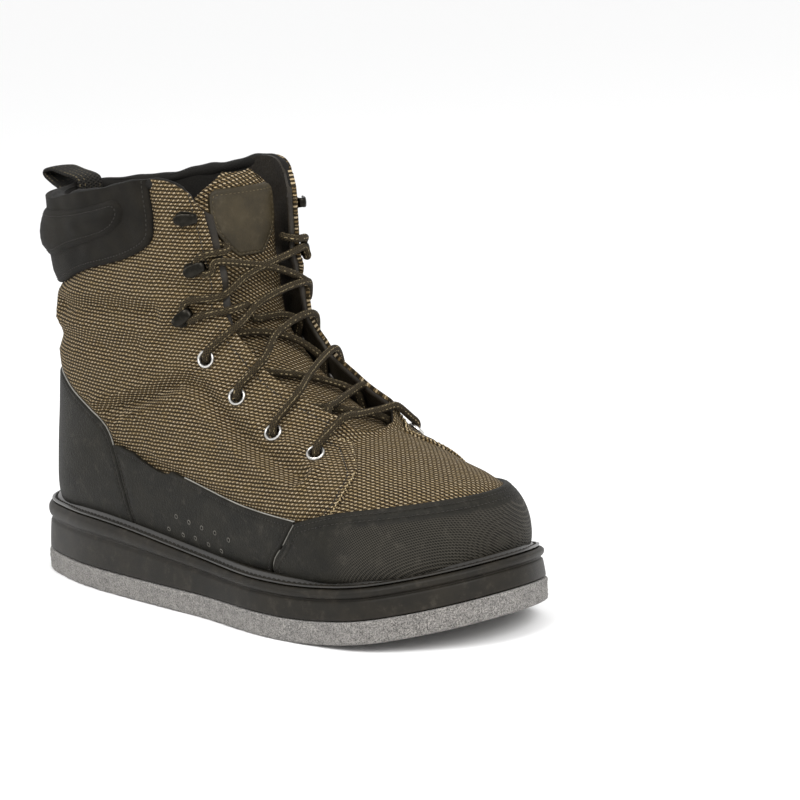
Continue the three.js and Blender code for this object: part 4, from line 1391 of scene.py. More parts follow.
    def panel(
        self,
        name: str,
        measure: Measure,
        node: str,
        material: bpy.types.Material,
        slot: str,
        thread: bpy.types.Material,
        base: float = 0.25,
        thick: float = 1.5,
        radius: float = 1.3,
        groove: float = 2.3,
        double: float = 0.0,
        crown: float = 0.0,
        crown_width: float = 20.0,
        pitch: float = 2.3,
        piping: float = 0.0,
        canvas: bool = False,
        wrinkle: float = 0.0,
    ) -> bpy.types.Object:
        """Build an overlay with a rounded edge and stitched rows.

        Args:
            name: the piece's name.
            measure: how far inside its outline a spot lies.
            node: the solid it stands for.
            material: its finish; slot: not used.
            thread, pitch: the stitches' finish and spacing.
            base, thick, radius: the height of its underside, its thickness and its edge's rounding.
            groove, double: the distances of its stitched rows from its edge.
            crown, crown_width: how much it swells, and over what distance.
            piping: the radius of a cord along its edge.
            canvas: whether its front has a woven emboss.
            wrinkle: the height of fine wrinkles.

        Returns:
            The panel.
        """
        levels = (0.14 * radius, 0.4 * radius, 0.75 * radius, radius, groove - 0.7, groove, groove + 0.7)
        skin = self.whole.cut(off_throat).cut(measure).score(measure, levels)
        if double:
            skin = skin.score(measure, (double - 0.6, double, double + 0.6))
        spots = skin.spots
        depth = measure(spots)
        folds = drape(spots)
        if wrinkle:
            x, y, z = spots.x, spots.y, spots.z
            ripple = np.sin(x / 3.1 + y / 2.7 + 1.4 * np.sin(z / 6))
            ripple = ripple * np.sin(z / 5.3 + x / 9 + 0.8 * np.sin(y / 7))
            broad = np.sin((x + y) / 8.5 + z / 13) * 1.4
            folds = folds + wrinkle * (ripple + broad) * smooth((depth - groove) / 4)

        def height(distance: Array) -> Array:
            """Return the face's height at a distance from the edge."""
            swell = crown * np.sin(np.pi / 2 * np.clip(distance / crown_width, 0, 1)) ** 0.7
            up = base + thick * rolled(distance, radius) + swell
            for row in (groove, double) if double else (groove,):
                up = up - 0.4 * np.exp(-(((distance - row) / 0.55) ** 2))
            return up

        def seam(distance: float) -> Shape:
            """Return a row of stitches at a distance from the edge."""
            lift = float(height(np.array(distance))) + 0.05
            return sew(
                skin, measure, distance, lambda s: drape(s) + lift, pitch=pitch, length=pitch * 0.72, radius=0.27
            )

        top = skin.lay(folds + height(depth))
        bottom = skin.lay(folds + base - 0.5)
        shape = closed_sheet(skin, top, bottom, np.stack([spots.x, spots.z + spots.y * 0.6], axis=1))
        if canvas:
            mask = smooth((spots.share - 0.79) / 0.06) * smooth((depth - double - 1.5) / 1.5)
            shape.marks["canvas"] = np.concatenate([mask, mask])
        piece = dress(shape.build(name, 42), material, node, slot)
        sewn = seam(groove).joined(seam(double)) if double else seam(groove)
        dress(sewn.build(name + " stitches"), thread, node, slot)
        if piping:
            cords = self.cords(skin.trace(measure, 0.0), base + 0.15, piping)
            dress(cords.build(name + " piping"), self.finishes.piping, node, slot)
        return piece

    @staticmethod
    def cords(chains: list[Array], lift: float, radius: float) -> Shape:
        """Lay cords of a radius along chains of places and angles, where they stand clear of the seat."""
        cords = Shape.empty()
        for chain in chains:
            spots = Spots(chain[:, 0], chain[:, 1])
            clear = above_seat(spots) > 1.0
            if clear.sum() > 6:
                line = LAST.wall(spots.place, spots.angle, drape(spots) + lift)[clear]
                cord = tube(resample(line, 1.2), radius, 8)
                cords = cords.joined(Shape(cord.points, cord.faces))
        return cords

    def build(self) -> None:
        """Build every layer."""
        finish = self.finishes
        self.vamp()
        self.cloth()
        self.lining()
        self.facing()
        edged = dict(thread=finish.thread, piping=0.38)
        self.panel("heel counter", COUNTER, "heel_counter", finish.panel, "panel", **edged)
        for side, sign in ((Side.OUTER, -1.0), (Side.INNER, 1.0)):
            def half(spots: Spots, sign: float = sign) -> Array:
                """Return how far inside this side's rand spots lie."""
                return np.minimum(RAND(spots) - 0.25, np.where(spots.y * sign > 0, 100.0, -1.0))

            name = f"side rand {side.value}"
            self.panel(name, half, name.replace(" ", "_"), finish.panel, "panel", **edged)
        self.panel(
            "toe cap", lambda s: CAP(s) - 0.3, "toe_cap", finish.panel, "panel", thread=finish.thread,
            double=4.9, thick=1.9, radius=1.6, canvas=True,
        )
        cuff = self.panel(
            "collar cuff", CUFF, "collar_cuff", finish.plush, "lining", thick=1.2, radius=1.6,
            crown=2.4, crown_width=13, groove=2.6, thread=finish.thread, wrinkle=0.3,
        )
        pad = self.panel(
            "collar pad", PAD, "collar_pad", finish.plush, "lining", base=2.4, thick=1.4,
            radius=2.4, crown=4.2, crown_width=14, groove=3.2, thread=finish.thread, wrinkle=0.4,
        )

    def perforations(self) -> None:
        """Lay two rows of pale rims on each side rand, each round a near-black disc that paints the shade of a
        small hole.
        """
        place, angle = np.meshgrid(np.linspace(3, 14, 500), np.linspace(-80, 40, 260), indexing="ij")
        grid = Spots(place.ravel(), angle.ravel())
        corners, raised = 16, 1.5
        turns = np.linspace(0, 2 * np.pi, corners + 1)[:-1]
        face_height, rim, cord_radius, hole = 1.72, 1.0, 0.24, 0.95
        for side in Side:
            rims, holes = Shape.empty(), Shape.empty()
            for x, z in side_view(PERFORATIONS):
                best = int(np.argmin((grid.x - x) ** 2 + (grid.z - z - raised) ** 2))
                turned = float(side.turn(grid.angle[best]))
                point, away, face, sideways = LAST.wall_frame(float(grid.place[best]), turned, face_height)
                spokes = [away * math.cos(turn) + sideways * math.sin(turn) for turn in turns]
                cord = tube(point + np.array(spokes) * rim, cord_radius, 8, closed=True)
                rims = rims.joined(Shape(cord.points, cord.faces))
                # A near-black disc flush with the rand's face: painted shade where the hole's hollow would be
                disc = [point + spoke * hole + face * up for up in (-0.5, 0.06) for spoke in spokes]
                faces = ring_faces(2, corners) + end_faces(2, corners)
                holes = holes.joined(Shape(np.array(disc), faces))
            node = f"side_rand_{side.value}"
            dress(rims.build(f"hole rims {side.value}", 60), self.finishes.rim, node, "panel")
            dress(holes.build(f"holes {side.value}"), self.finishes.hole, node, "panel")

    def roll(self) -> bpy.types.Object:
        """Build the soft roll of lining over the collar's edge."""
        drop = 2.2
        skin = self.whole.cut(off_throat).score(below_collar, (drop,))
        place, angle = max(skin.trace(below_collar, drop), key=len).T
        keep = off_throat(Spots(place, angle)) > 0.6
        place, angle = place[keep], angle[keep]
        depth = self.lining_depth(place, angle)
        thick = (-depth + 0.9) / 2
        line = LAST.wall(place, angle, depth + thick - 0.35)
        both = resample(np.hstack([line, thick[:, None], LAST.normal(place, angle)]), 1.2)
        middle, half, out = both[:, :3], both[:, 3], both[:, 4:]
        along = np.arange(len(half))
        wave = np.sin(along * 0.21) * 0.36 + np.sin(along * 0.47) * 0.21
        taper = np.sqrt(np.clip(np.minimum(along, along[::-1]) / 4, 0.05, 1))
        outward = out * (1, 1, 0)
        outward /= np.linalg.norm(outward, axis=1, keepdims=True)
        wide = outward * ((half + 0.55) * taper)[:, None]
        tall = np.outer((2.6 + wave + half * 0.25) * taper, (0, 0, 1))
        turns = np.linspace(0, 2 * np.pi, 21)[:-1, None]
        rings = middle[:, None] + np.cos(turns) * wide[:, None] + np.sin(turns) * tall[:, None]
        faces = ring_faces(len(half), len(turns)) + end_faces(len(half), len(turns))
        shape = Shape(rings.reshape(-1, 3), faces)
        return dress(shape.build("collar roll", 60), self.finishes.lining, "upper", "lining")


@dataclass
class Tongue:
    """The padded tongue and the bare patch on it."""

    finishes: Finishes
    start: float = 4.5
    end: float = 17.5
    patch_start: float = 13.2
    patch_end: float = 17.1
    patch_half: float = 24.0
    patch_length: float = 11.5
    patch_inset: float = 2.6
    patch_lift: float = 0.7
    patch: float = 1.2

    def face(self, place: Array) -> Array:
        """Return the tongue's offset from the last."""
        drop = SIZES.tongue_drop * smooth((place - 7) / 6)
        return -SIZES.wall - SIZES.tongue_clearance - drop

    def half(self, place: Array) -> Array:
        """Return half the tongue's width."""
        taper = 1 - 0.35 * smooth((place - 14.5) / 2)
        rounding = np.sqrt(1 - np.clip((place - 16.3) / 1.2, 0, 1) ** 2 * 0.93)
        return rounding * (LAST.throat_half(np.maximum(place, 5.2)) + SIZES.tongue_margin * taper)

    def skin(self, places: Array, half: Array, columns: int) -> tuple[Skin, Array]:
        """Return a skin over the middle of the last, with the share across each corner has."""
        across = np.linspace(-1, 1, columns)
        share = np.tile(across, len(places))
        place = np.repeat(places, columns)
        angle = self.angle(place, share * np.repeat(half, columns))
        return Skin(place, angle, grid_faces(len(places), columns)), share

    @staticmethod
    def angle(place: Array, across: Array) -> Array:
        """Return the angles at distances across from the middle line, the inner side's positive."""
        angle = LAST.angle_at(place, np.abs(across))
        return np.where(across > 0, 180 - angle, angle)

    @staticmethod
    def soften(grid: Array) -> Array:
        """Return a grid of points evened out, its edges kept."""
        rounds = 30
        for _ in range(rounds):
            inner = (grid[:, :-2] + grid[:, 2:]) / 2
            along = (grid[:-2] + grid[2:]) / 2
            grid = grid.copy()
            grid[:, 1:-1] = grid[:, 1:-1] * 0.5 + inner * 0.5
            grid[1:-1] = grid[1:-1] * 0.5 + along * 0.5
        return grid

    def build(self) -> None:
        """Build the tongue, the patch and the patch's stitches."""
        rows, columns = 130, 61
        places = np.linspace(self.start, self.end, rows)
        half = self.half(places)
        skin, share = self.skin(places, half, columns)
        place = skin.place
        inward = (1 - np.abs(share)) * np.repeat(half, columns)
        end = np.clip((self.end - place) / 0.5, 0, 1)
        rim = rolled(np.minimum(inward, end * 8), 4.0)
        points = LAST.off(place, skin.angle, 0.0)
        wave = 0.35 * np.sin(points[:, 2] / 7 + share * 2) * np.sin(points[:, 1] / 6)
        edge_seam = -0.9 * np.exp(-(((inward - 5.5) / 0.9) ** 2))
        top = -1.2 * (1 - rim) + (1 - share**2 + wave + edge_seam) * rim
        bottom = 1 - SIZES.tongue + 2.2 * (1 - rim)
        laid = self.soften(LAST.off(place, skin.angle, self.face(place)).reshape(rows, columns, 3))
        out = grid_normals(laid).reshape(-1, 3)
        laid = laid.reshape(-1, 3)
        raised, lowered = laid + out * top[:, None], laid + out * bottom[:, None]
        shape = closed_sheet(skin, raised, lowered, unroll(skin, laid))
        piece = dress(shape.build("tongue", 50), self.finishes.weave, "tongue", "cloth")
        self.build_patch()

    def build_patch(self) -> None:
        """Build the patch with its stitches just inside the edge."""
        columns = 61
        share_up = np.linspace(0, 1, 60)
        places = self.patch_start + (self.patch_end - self.patch_start) * share_up
        corner = 0.35 + 0.65 * np.sin(np.pi * np.clip(share_up * 0.62, 0, 0.5))
        corner *= np.clip(1 - ((share_up - 0.86) / 0.14).clip(0) ** 3 * 0.25, 0, 1)
        half = self.patch_half * corner
        skin, share = self.skin(places, half, columns)
        place = skin.place
        across = (1 - np.abs(share)) * np.repeat(half, columns)
        along = np.minimum(place - self.patch_start, self.patch_end - place) * self.patch_length
        depth = np.minimum(across, along)
        base = self.face(place) + self.patch_lift + 0.72 * (1 - share**2)
        rise = self.patch * rolled(depth, 1.2) - 0.35 * np.exp(-(((depth - self.patch_inset) / 0.6) ** 2))
        top = LAST.off(place, skin.angle, base + rise)
        bottom = LAST.off(place, skin.angle, base - 0.9)
        uv = np.stack([share * 20, place * self.patch_length], axis=1)
        shape = closed_sheet(skin, top, bottom, uv)
        dress(shape.build("tongue patch", 45), self.finishes.patch, "tongue_patch", "panel")
        inset = self.patch_inset / self.patch_length
        low, high = self.patch_start + inset, self.patch_end - inset
        up = np.linspace(low, high, 70)
        reach = np.interp(up, places, half) - self.patch_inset
        level = np.ones(40)
        ring_place = np.concatenate([up, high * level, up[::-1], low * level])
        ring_across = np.concatenate([
            reach, np.linspace(reach[-1], -reach[-1], 40), -reach[::-1], np.linspace(-reach[0], reach[0], 40),
        ])
        angle = self.angle(ring_place, ring_across)
        width = np.interp(ring_place, places, half)
        swell = 0.72 * (1 - (ring_across / width) ** 2)
        lift = self.face(ring_place) + self.patch_lift + swell + self.patch - 0.3
        line = LAST.off(ring_place, angle, lift)
        sewn = stitches(line, LAST.normal(ring_place, angle), pitch=2.5, length=1.7, radius=0.26)
        dress(sewn.build("patch stitches"), self.finishes.pale_thread, "tongue_patch", "panel")


@dataclass
class Fasteners:
    """The eyelets' rims and washers, the hooks and the lace through them."""

    finishes: Finishes
    lace_radius: float = 1.85

    def eyelet(self, seat: Seat) -> Shape:
        """Build a rim outside and a washer inside, joined by the barrel."""
        profile = np.array([
            (2.4, 0.0), (2.55, 1.3), (2.95, 2.5), (3.35, 3.1), (3.75, 3.3), (4.2, 3.15), (4.5, 2.7),
            (4.55, 2.0), (2.75, 1.4), (2.75, -3.2), (4.3, -3.3), (4.5, -3.6), (4.2, -4.0), (3.3, -4.25),
            (2.7, -4.1), (2.4, -3.7),
        ])
        turns = np.linspace(0, 2 * np.pi, 33)[:-1]
        points = [
            [radius * math.cos(turn), height, radius * math.sin(turn)]
            for radius, height in profile for turn in turns
        ]
        faces = ring_faces(len(profile), len(turns), joined=True)
        return Shape(seat.place_all(np.array(points)), faces)

    def hook(self, seat: Seat) -> Shape:
        """Build a leaf of bent sheet with a rivet on its plate."""
        knots = [(6.4, 1.5), (2.5, 1.5), (-2.6, 1.5), (-4.7, 2.8), (-4.5, 4.8), (-2.6, 5.9), (0.6, 6.0),
                 (3.4, 6.4), (5.2, 7.3)]
        line = smooth_path(knots, 0.4)
        widths = [(0, 1.6), (0.04, 2.9), (0.12, 3.8), (0.3, 3.4), (0.42, 2.5), (0.52, 2.3), (0.66, 2.7),
                  (0.84, 3.0), (0.94, 2.5), (0.985, 1.7), (1, 1.0)]
        half = np.interp(np.linspace(0, 1, len(line)), *np.array(widths).T)
        tangent = np.gradient(line, axis=0)
        tangent /= np.linalg.norm(tangent, axis=1, keepdims=True)
        across = np.stack([-tangent[:, 1], tangent[:, 0]], axis=1)
        turns = np.linspace(0, 2 * np.pi, 25)[:-1]
        sheet = 0.62
        points = []
        for middle, out, wide in zip(line, across, half):
            for turn in turns:
                side = math.copysign(abs(math.cos(turn)) ** 0.35, math.cos(turn)) * wide
                thick = math.copysign(abs(math.sin(turn)) ** 0.6, math.sin(turn)) * sheet
                dish = -0.35 * (side / wide) ** 2
                spot = middle + out * (thick + dish)
                points.append([spot[0], spot[1], side])
        count = len(turns)
        faces = ring_faces(len(line), count) + end_faces(len(line), count)
        plate = Shape(seat.place_all(np.array(points)), faces)
        centre, profile = 1.6, ((1.9, 1.9), (1.8, 2.4), (1.3, 2.75), (0.5, 2.9))
        dome = [
            [centre + radius * math.cos(turn), height, radius * math.sin(turn)]
            for radius, height in profile for turn in turns
        ]
        faces = ring_faces(len(profile), count) + end_faces(len(profile), count)
        return plate.joined(Shape(seat.place_all(np.array(dome)), faces))

    @staticmethod
    def edge(place: float, past: float = 0.0) -> float:
        """Return the angle of the outer flap's edge, or of a line past it in millimetres."""
        spot = np.array(place)
        return float(LAST.angle_at(spot, LAST.throat_half(spot) + past))

    @staticmethod
    def spot(place: float, angle: float, lift: float) -> Array:
        """Return a point at a lift off the wall."""
        return LAST.wall(np.array(place), np.array(angle), lift)

    def over(self, start: float, end: float, inward: float = 0.0) -> list[Array]:
        """Return a strand's points over the throat from the outer flap's edge to the inner one's."""
        low, high = self.edge(start), 180 - self.edge(end)
        points = []
        for share in (-0.06, 0.08, 0.3, 0.5, 0.7, 0.92, 1.06):
            place = start + (end - start) * np.clip(share, 0, 1)
            lift = 3.3 - 3.4 * (1 - min(abs(2 * share - 1), 1) ** 3) - inward
            points.append(self.spot(place, low + (high - low) * share, lift))
        return points

    def under(self, start: float, end: float) -> list[Array]:
        """Return a strand's points under both flaps, from the inner side to the outer one."""
        low, high = 180 - self.edge(start, 1), self.edge(end, 1)
        points = []
        for share in (-0.1, 0.05, 0.35, 0.65, 0.95, 1.1):
            place = start + (end - start) * np.clip(share, 0, 1)
            middle = 1 - min(abs(2 * share - 1), 1) ** 2
            points.append(self.spot(place, low + (high - low) * share, -6.0 - 1.2 * middle))
        return points

    def out(self, side: Side, index: int) -> list[Array]:
        """Return points that rise out of an eyelet and turn to the throat."""
        seat = SEATS[side, index]
        route = ((-1.5, -6.0), (0, -2.5), (0, 2.2), (-2.2, 4.9), (-6.0, 4.8))
        return [seat.at(away, lift) for away, lift in route]

    def into(self, side: Side, index: int) -> list[Array]:
        """Return points that enter an eyelet from outside."""
        return self.out(side, index)[::-1]

    def around(self, side: Side, index: int) -> list[Array]:
        """Return points that pass round a hook, from below it to above."""
        seat = SEATS[side, index]
        route = ((-7.5, 4.0, -4.6), (-4.0, 4.0, -4.4), (-1.6, 3.9, -2.6), (-0.9, 3.9, 0.0), (-1.6, 3.9, 2.6),
                 (-4.0, 4.0, 4.4), (-7.5, 4.0, 4.6))
        return [seat.at(*row) for row in route]

    def first_route(self, at: list[float]) -> list[Array]:
        """Return the course of the half that starts at the near flap's lowest eyelet."""
        near, far = Side.OUTER, Side.INNER
        tuck = self.edge(at[5] + 0.6)
        route = self.out(near, 0) + self.over(at[0], at[0]) + self.into(far, 0) + self.under(at[0], at[1])
        route += self.out(near, 1) + self.over(at[1], at[2]) + self.into(far, 2) + self.under(at[2], at[3])
        route += self.out(near, 3) + self.over(at[3], at[4]) + self.around(far, 4)
        route += self.over(at[5], at[4])[::-1] + self.around(near, 5)
        ending = ((0.45, 8, -0.5), (0.7, 10, -5.0), (0.9, 2, -6.5), (1.0, -8, -6.3))
        return route + [self.spot(at[5] + up, tuck + turn, lift) for up, turn, lift in ending]

    def second_route(self, at: list[float]) -> list[Array]:
        """Return the course of the half that starts under the near flap."""
        near, far = Side.OUTER, Side.INNER
        rim, far_edge = self.edge(at[3] + 1.0), 180 - self.edge(at[5] + 0.6)
        route = [SEATS[near, 0].at(2.0, -5.6), SEATS[near, 0].at(-8.0, -6.2)]
        route += self.over(at[0] + 0.35, at[1], inward=3.6)[1:] + self.into(far, 1) + self.under(at[1], at[2])
        route += self.out(near, 2) + self.over(at[2], at[3]) + self.into(far, 3)
        route += self.under(at[3], at[3] + 0.2)[:4]
        route += [self.spot(at[3] + 0.9, rim + 14, -2.4), self.spot(at[3] + 1.2, rim + 3, 2.6)]
        route += self.around(near, 4) + self.over(at[4] + 0.3, at[5]) + self.around(far, 5)
        ending = ((0.55, -6, 1.6), (0.7, -10, -3.4), (0.8, -4, -6.4), (0.8, 6, -6.2))
        return route + [self.spot(at[5] + up, far_edge + turn, lift) for up, turn, lift in ending]

    def lace(self) -> bpy.types.Object:
        """Run the lace from the bottom bar up to its tucked ends."""
        at = [row.place for row in FASTENINGS]
        shape = Shape(np.zeros((0, 3)), [], np.zeros((0, 2)))
        step, rounds, sides = 0.8, 6, 14
        for route in (self.first_route(at), self.second_route(at)):
            path = smooth_path(np.array(route), step)
            for _ in range(rounds):
                path[1:-1] = path[1:-1] * 0.5 + (path[:-2] + path[2:]) * 0.25
            shape = shape.joined(tube(path, self.lace_radius, sides))
        return dress(shape.build("lace", 60), self.finishes.lace, "lace", "lace")

    def build(self) -> None:
        """Build the metal and the lace."""
        for (side, index), seat in SEATS.items():
            hook = FASTENINGS[index].hook
            node = f"hook_{side.value}_{index - 3}" if hook else f"eyelet_{side.value}_{index + 1}"
            shape = self.hook(seat) if hook else self.eyelet(seat)
            finish = self.finishes.gunmetal if hook else self.finishes.silver
            dress(shape.build(node.replace("_", " "), 40), finish, node, "hook" if hook else "eyelet")
        self.lace()


# The sole's outline: share of the sole length, outer and inner half width as shares of the ball width
SOLE_ROWS = (
    (0, 0, 0),
    (0.012, 0.135, 0.135),
    (0.05, 0.252, 0.277),
    (0.12, 0.33, 0.352),
    (0.22, 0.393, 0.361),
    (0.38, 0.432, 0.336),
    (0.52, 0.458, 0.386),
    (0.66, 0.509, 0.479),
    (0.78, 0.497, 0.503),
    (0.87, 0.45, 0.477),
    (0.94, 0.31, 0.396),
    (0.985, 0.149, 0.226),
    (1, -0.05, 0.05),
)


@dataclass
class Sole:
    """The felt, the rubber with its bead, and the stitched welt."""

    finishes: Finishes
    steps: int = 22

    def loop(self, inset: float) -> Array:
        """Return the outline as a closed loop of X and Y, moved inward."""
        table = np.array(SOLE_ROWS)
        before, after = table[1][[0, 2, 1]] * (1, -1, -1), table[-2][[0, 2, 1]] * (1, -1, -1)
        ring = np.vstack([before, table, after])
        rows = []
        for index in range(len(table) - 1):
            share = (np.arange(self.steps) / self.steps)[:, None]
            rows.append(cubic(ring[index], ring[index + 1], ring[index + 2], ring[index + 3], share))
        rows = np.vstack(rows + [table[-1:]])
        outer = np.stack([SIZES.x_at(rows[:, 0]), -rows[:, 1] * SIZES.ball_width], axis=1)
        inner = np.stack([SIZES.x_at(rows[:, 0]), rows[:, 2] * SIZES.ball_width], axis=1)
        loop = np.vstack([outer, inner[-2:0:-1]])
        along = np.roll(loop, -1, axis=0) - np.roll(loop, 1, axis=0)
        along /= np.linalg.norm(along, axis=1, keepdims=True)
        return loop + np.stack([-along[:, 1], along[:, 0]], axis=1) * inset

    def slab(self, levels: Sequence[tuple[Callable[[Array], Array], float]], fuzz: float = 0.0) -> Shape:
        """Loft a closed slab.

        Args:
            levels: height rules and insets from the bottom up.
            fuzz: the height of random roughness on its face, in millimetres.

        Returns:
            The slab, its bottom and top closed toward the middle line.
        """
        rings = []
        shares = np.linspace(0, 1, 13)[1:]
        random = np.random.default_rng(5)
        for height, inset in levels:
            loop = self.loop(inset)
            if fuzz:
                rough = random.normal(0, fuzz, len(loop))[:, None]
                loop = loop + (self.loop(inset + 1) - loop) * rough
            rings.append(np.column_stack([loop, height(loop[:, 0])]))
        count = len(rings[0])

        def inward(ring: Array, height: Callable[[Array], Array]) -> list[Array]:
            """Return rings from an edge to the middle line."""
            mirror = (-np.arange(count)) % count
            middle = (ring + ring[mirror]) / 2
            result = []
            for share in shares:
                inner = ring + (middle - ring) * share
                inner[:, 2] = height(inner[:, 0])
                result.append(inner)
            return result

        rings = inward(rings[0], levels[0][0])[::-1] + rings + inward(rings[-1], levels[-1][0])
        return Shape(np.vstack(rings), ring_faces(len(rings), count))

    def build(self) -> None:
        """Build the felt, the rubber and the welt."""
        lift = SIZES.sole_lift
        inward = 0.35
        felt_rows = [(0.0, 1.6), (0.25, 0.7), (0.9, 0.15), (2, 0.0), (3.2, 0.1), (4.4, 0.0), (5.6, 0.12),
                     (6.8, 0.02), (8.0, 0.12), (9.2, 0.05), (10.2, 0.15), (10.8, 0.5), (SIZES.felt, 1.4)]
        levels = [(lambda x, z=z: lift(x) + z, inset + inward) for z, inset in felt_rows]
        felt = self.slab(levels, fuzz=0.16)
        piece = dress(felt.build("felt outsole", 70), self.finishes.felt, "felt_outsole", "felt")
        bottom = lambda x: lift(x) + SIZES.felt + SIZES.gap
        scale = (14, 1)
        profile = np.array([
            (0, 2.2), (0.02, 1.3), (0.05, 0.95), (0.3, 1.35), (0.55, 1.95), (0.6, 2.25), (0.64, 2.9),
            (0.67, 3.0), (0.7, 2.5), (0.73, 1.8), (0.79, 1.35), (0.86, 1.3), (0.91, 1.55), (0.95, 2.1),
            (0.985, 2.7), (1.0, 3.4), (1.0, 4.2),
        ])
        levels = [
            (lambda x, share=share: bottom(x) + min(share, 1.0) * (SIZES.seat(x) - bottom(x)), inset)
            for share, inset in smooth_path(profile * scale, 0.45) / scale
        ]
        dress(self.slab(levels).build("rubber midsole", 42), self.finishes.rubber, "rubber_midsole", "rubber")
        self.welt()

    def welt(self) -> None:
        """Build the welt as a ridge with a stitched groove."""
        seat = SIZES.seat
        outline = [(3.9, 0.25), (3.3, 0.8), (3.4, 1.5), (4.3, 1.9), (5.0, 1.5), (5.6, 1.2), (6.3, 1.7),
                   (7.0, 2.9), (8.0, 3.6), (9.4, 3.5), (11.5, 2.8), (13.5, 1.2), (12.0, 0.25)]
        rings = []
        for inset, up in outline:
            loop = self.loop(inset)
            rings.append(np.column_stack([loop, seat(loop[:, 0]) + up]))
        faces = ring_faces(len(rings), len(rings[0]), joined=True)
        dress(Shape(np.vstack(rings), faces).build("welt", 45), self.finishes.welt, "welt", "rubber")
        groove, raised, lean = 5.55, 1.5, 1.6
        loop = self.loop(groove)
        line = np.column_stack([loop, seat(loop[:, 0]) + raised])
        outward = self.loop(groove - 1.05) - self.loop(groove - 0.05)
        off = np.column_stack([outward, np.full(len(outward), lean)])
        off /= np.linalg.norm(off, axis=1, keepdims=True)
        closed = list(range(len(line))) + [0]
        sewn = stitches(line[closed], off[closed], pitch=3.4, length=2.5, radius=0.5)
        dress(sewn.build("welt stitches"), self.finishes.thread, "welt", "rubber")


@dataclass
class Inside:
    """The insole in the foot and the pull loop over the collar."""

    finishes: Finishes

    def insole(self) -> bpy.types.Object:
        """Build the insole between the lining's walls."""
        places = np.concatenate([np.linspace(0.3, 9, 90), np.linspace(9.1, 18.8, 60)])
        angles = np.linspace(-90, 270, 181)
        place, angle = np.meshgrid(places, angles, indexing="ij")
        depth = Shell.lining_depth(place, angle) - 0.4
        points = LAST.wall(place, angle, depth).reshape(-1, 3)
        level = SIZES.seat(points[:, 0]) + SIZES.insole
        reach = 2.5
        near = points[np.abs(points[:, 2] - level) < reach]
        xs = np.linspace(near[:, 0].min() + 0.3, near[:, 0].max() - 0.3, 150)
        outer, inner = [], []
        for x in xs:
            strip = near[np.abs(near[:, 0] - x) < reach]
            outer.append(strip[:, 1].min())
            inner.append(strip[:, 1].max())
        kernel = np.ones(5) / 5
        outer = np.convolve(np.pad(outer, 2, mode="edge"), kernel, "valid")
        inner = np.convolve(np.pad(inner, 2, mode="edge"), kernel, "valid")
        ends = np.minimum(xs - xs[0], xs[-1] - xs) / 14
        close = np.sqrt(np.clip(1 - (1 - np.clip(ends, 0, 1)) ** 2, 0.0004, 1))
        middle, half = (outer + inner) / 2, (inner - outer) / 2 * close
        across = np.linspace(-1, 1, 61)
        y = middle[:, None] + half[:, None] * across[None, :]
        x = np.broadcast_to(xs[:, None], y.shape)
        cup = 1.6 * np.abs(across[None, :]) ** 4 * smooth((20 - x) / 60)
        rim = (1 - np.abs(across[None, :])) * half[:, None]
        top = SIZES.seat(x) + SIZES.insole - 0.3 + cup - 1.0 * (1 - rolled(rim, 1.5))
        bottom = SIZES.seat(x) + SIZES.gap + 0.2
        grid = Skin.grid(np.arange(len(xs)), np.arange(61))
        upper = np.stack([x, y, top], axis=-1).reshape(-1, 3)
        lower = np.stack([x, y, bottom], axis=-1).reshape(-1, 3)
        shape = closed_sheet(grid, upper, lower)
        return dress(shape.build("insole", 50), self.finishes.insole, "insole", "insole")

    def pull_loop(self) -> bpy.types.Object:
        """Build the webbing folded over the collar's back edge."""
        places = np.linspace(15, 18, 200)
        top = SIZES.collar_height
        step, half = 0.6, 8.0

        def leg(offset: float, drop: float) -> tuple[float, float]:
            """Return a point of the back wall at an offset and a drop below the collar."""
            points = LAST.off(places, -90.0, offset)
            return float(np.interp(top - drop, points[:, 2], points[:, 0])), top - drop

        back, lining = leg(5.6, 0)[0], leg(-9.9, 0)[0]
        bight = ((-6.5, 0.8), (-12.6, 4.4), (-12.2, 7.2), (-6, 8.4), (2.6, 6.6))
        knots = [leg(5.4, 11), leg(5.4, 6.4), leg(5.6, 2.4)]
        knots += [(back + along, top + up) for along, up in bight]
        knots += [(lining - 1, top + 3.6), leg(-9.9, 3), leg(-9.9, 8)]
        line = smooth_path(knots, step)
        tangent = np.gradient(line, axis=0)
        tangent /= np.linalg.norm(tangent, axis=1, keepdims=True)
        out = np.stack([tangent[:, 1], -tangent[:, 0]], axis=1)
        across = np.linspace(-half, half, 25)
        edge = 1 - rolled(half - np.abs(across), 1.0)
        faces_up, faces_down, uv = [], [], []
        for index, middle in enumerate(line):
            for y, round_off in zip(across, edge):
                thick = 1.0 - 0.8 * round_off
                arch = 0.5 * (y / half) ** 2 * math.sin(index / len(line) * math.pi)
                high = middle + out[index] * (-thick + arch)
                low = middle + out[index] * (thick + arch)
                faces_up.append([high[0], y, high[1]])
                faces_down.append([low[0], y, low[1]])
                uv.append([index * step, (y + half) / (2 * half)])
        grid = Skin.grid(np.arange(len(line)), np.arange(len(across)))
        shape = closed_sheet(grid, np.array(faces_up), np.array(faces_down), np.array(uv))
        return dress(shape.build("pull loop", 50), self.finishes.webbing, "pull_loop", "lining")

    def build(self) -> None:
        """Build both."""
        self.insole()
        self.pull_loop()


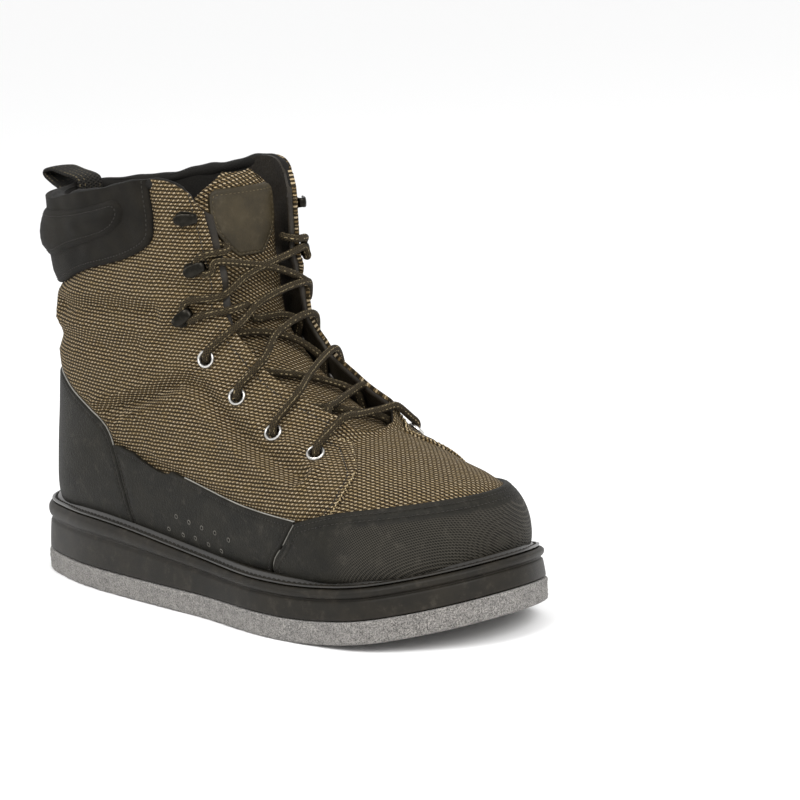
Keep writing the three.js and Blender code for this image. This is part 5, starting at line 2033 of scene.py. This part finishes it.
@dataclass
class Studio:
    """A pale floor, soft lights and the camera at the photograph's angle."""

    azimuth: float = 48.399
    elevation: float = 9.995
    roll: float = -3.352
    distance: float = 1.4
    focal: float = 2857.9
    shift_x: float = -134.34
    shift_y: float = -11.77
    frame_width: float = 800.0

    def camera(self) -> None:
        """Place the camera."""
        a, e, r = (math.radians(value) for value in (self.azimuth, self.elevation, self.roll))
        back = np.array([math.sin(a) * math.cos(e), -math.cos(a) * math.cos(e), math.sin(e)])
        right = np.array([math.cos(a), math.sin(a), 0.0])
        up = np.cross(back, right)
        spot = np.array([0, 0, 0.1]) + back * self.distance
        pan, tilt = math.atan(self.shift_x / self.focal), math.atan(self.shift_y / self.focal)
        ahead = -back * math.cos(pan) - right * math.sin(pan)
        right = right * math.cos(pan) - back * math.sin(pan)
        lifted = ahead * math.cos(tilt) + up * math.sin(tilt)
        upright = up * math.cos(tilt) - ahead * math.sin(tilt)
        axis_x = right * math.cos(r) + upright * math.sin(r)
        axis_y = -right * math.sin(r) + upright * math.cos(r)
        matrix = Matrix.Identity(4)
        for row in range(3):
            matrix[row][0], matrix[row][1] = axis_x[row], axis_y[row]
            matrix[row][2], matrix[row][3] = -lifted[row], spot[row]
        lens = bpy.data.cameras.new("camera")
        lens.sensor_width = 36.0
        lens.lens = 36.0 * self.focal / self.frame_width
        lens.dof.use_dof = False
        camera = bpy.data.objects.new("camera", lens)
        bpy.context.scene.collection.objects.link(camera)
        camera.matrix_world = matrix
        bpy.context.scene.camera = camera

    def light(self, name: str, spot: tuple[float, float, float], size: float, power: float) -> None:
        """Hang a soft light that faces the boot."""
        lamp = bpy.data.lights.new(name, "AREA")
        lamp.size = size
        lamp.energy = power
        piece = bpy.data.objects.new(name, lamp)
        piece.location = spot
        piece.rotation_euler = (Vector((0, 0, 0.1)) - Vector(spot)).to_track_quat("-Z", "Y").to_euler()
        bpy.context.scene.collection.objects.link(piece)

    def build(self) -> None:
        """Build the studio."""
        mesh = bpy.data.meshes.new("floor")
        reach = 12.0
        corners = [(-reach, -reach, 0), (reach, -reach, 0), (reach, reach, 0), (-reach, reach, 0)]
        mesh.from_pydata(corners, [], [(0, 1, 2, 3)])
        floor = bpy.data.objects.new("floor", mesh)
        bpy.context.scene.collection.objects.link(floor)
        graph = Graph("floor")
        mesh.materials.append(graph.finish(Base_Color=(0.95, 0.95, 0.95), Roughness=0.8))
        world = bpy.data.worlds.new("studio")
        world.use_nodes = True
        sky = world.node_tree.nodes["Background"]
        sky.inputs["Color"].default_value = (1.0, 1.0, 1.0, 1.0)
        sky.inputs["Strength"].default_value = 1.0
        bpy.context.scene.world = world
        self.light("key", (0.25, -1.3, 1.5), 0.8, 19)
        self.light("left", (-1.5, -0.7, 0.9), 1.2, 1)
        self.light("right", (1.5, -0.3, 1.2), 0.9, 20)
        bpy.context.scene.view_settings.view_transform = "Standard"
        self.camera()


def main() -> None:
    """Build the boot and its studio."""
    logging.basicConfig(level=logging.INFO, format="%(name)s: %(message)s")
    finishes = Finishes()
    shell = Shell(finishes)
    shell.build()
    shell.perforations()
    shell.roll()
    Tongue(finishes).build()
    Fasteners(finishes).build()
    Sole(finishes).build()
    Inside(finishes).build()
    Studio().build()


if __name__ == "__main__":
    main()
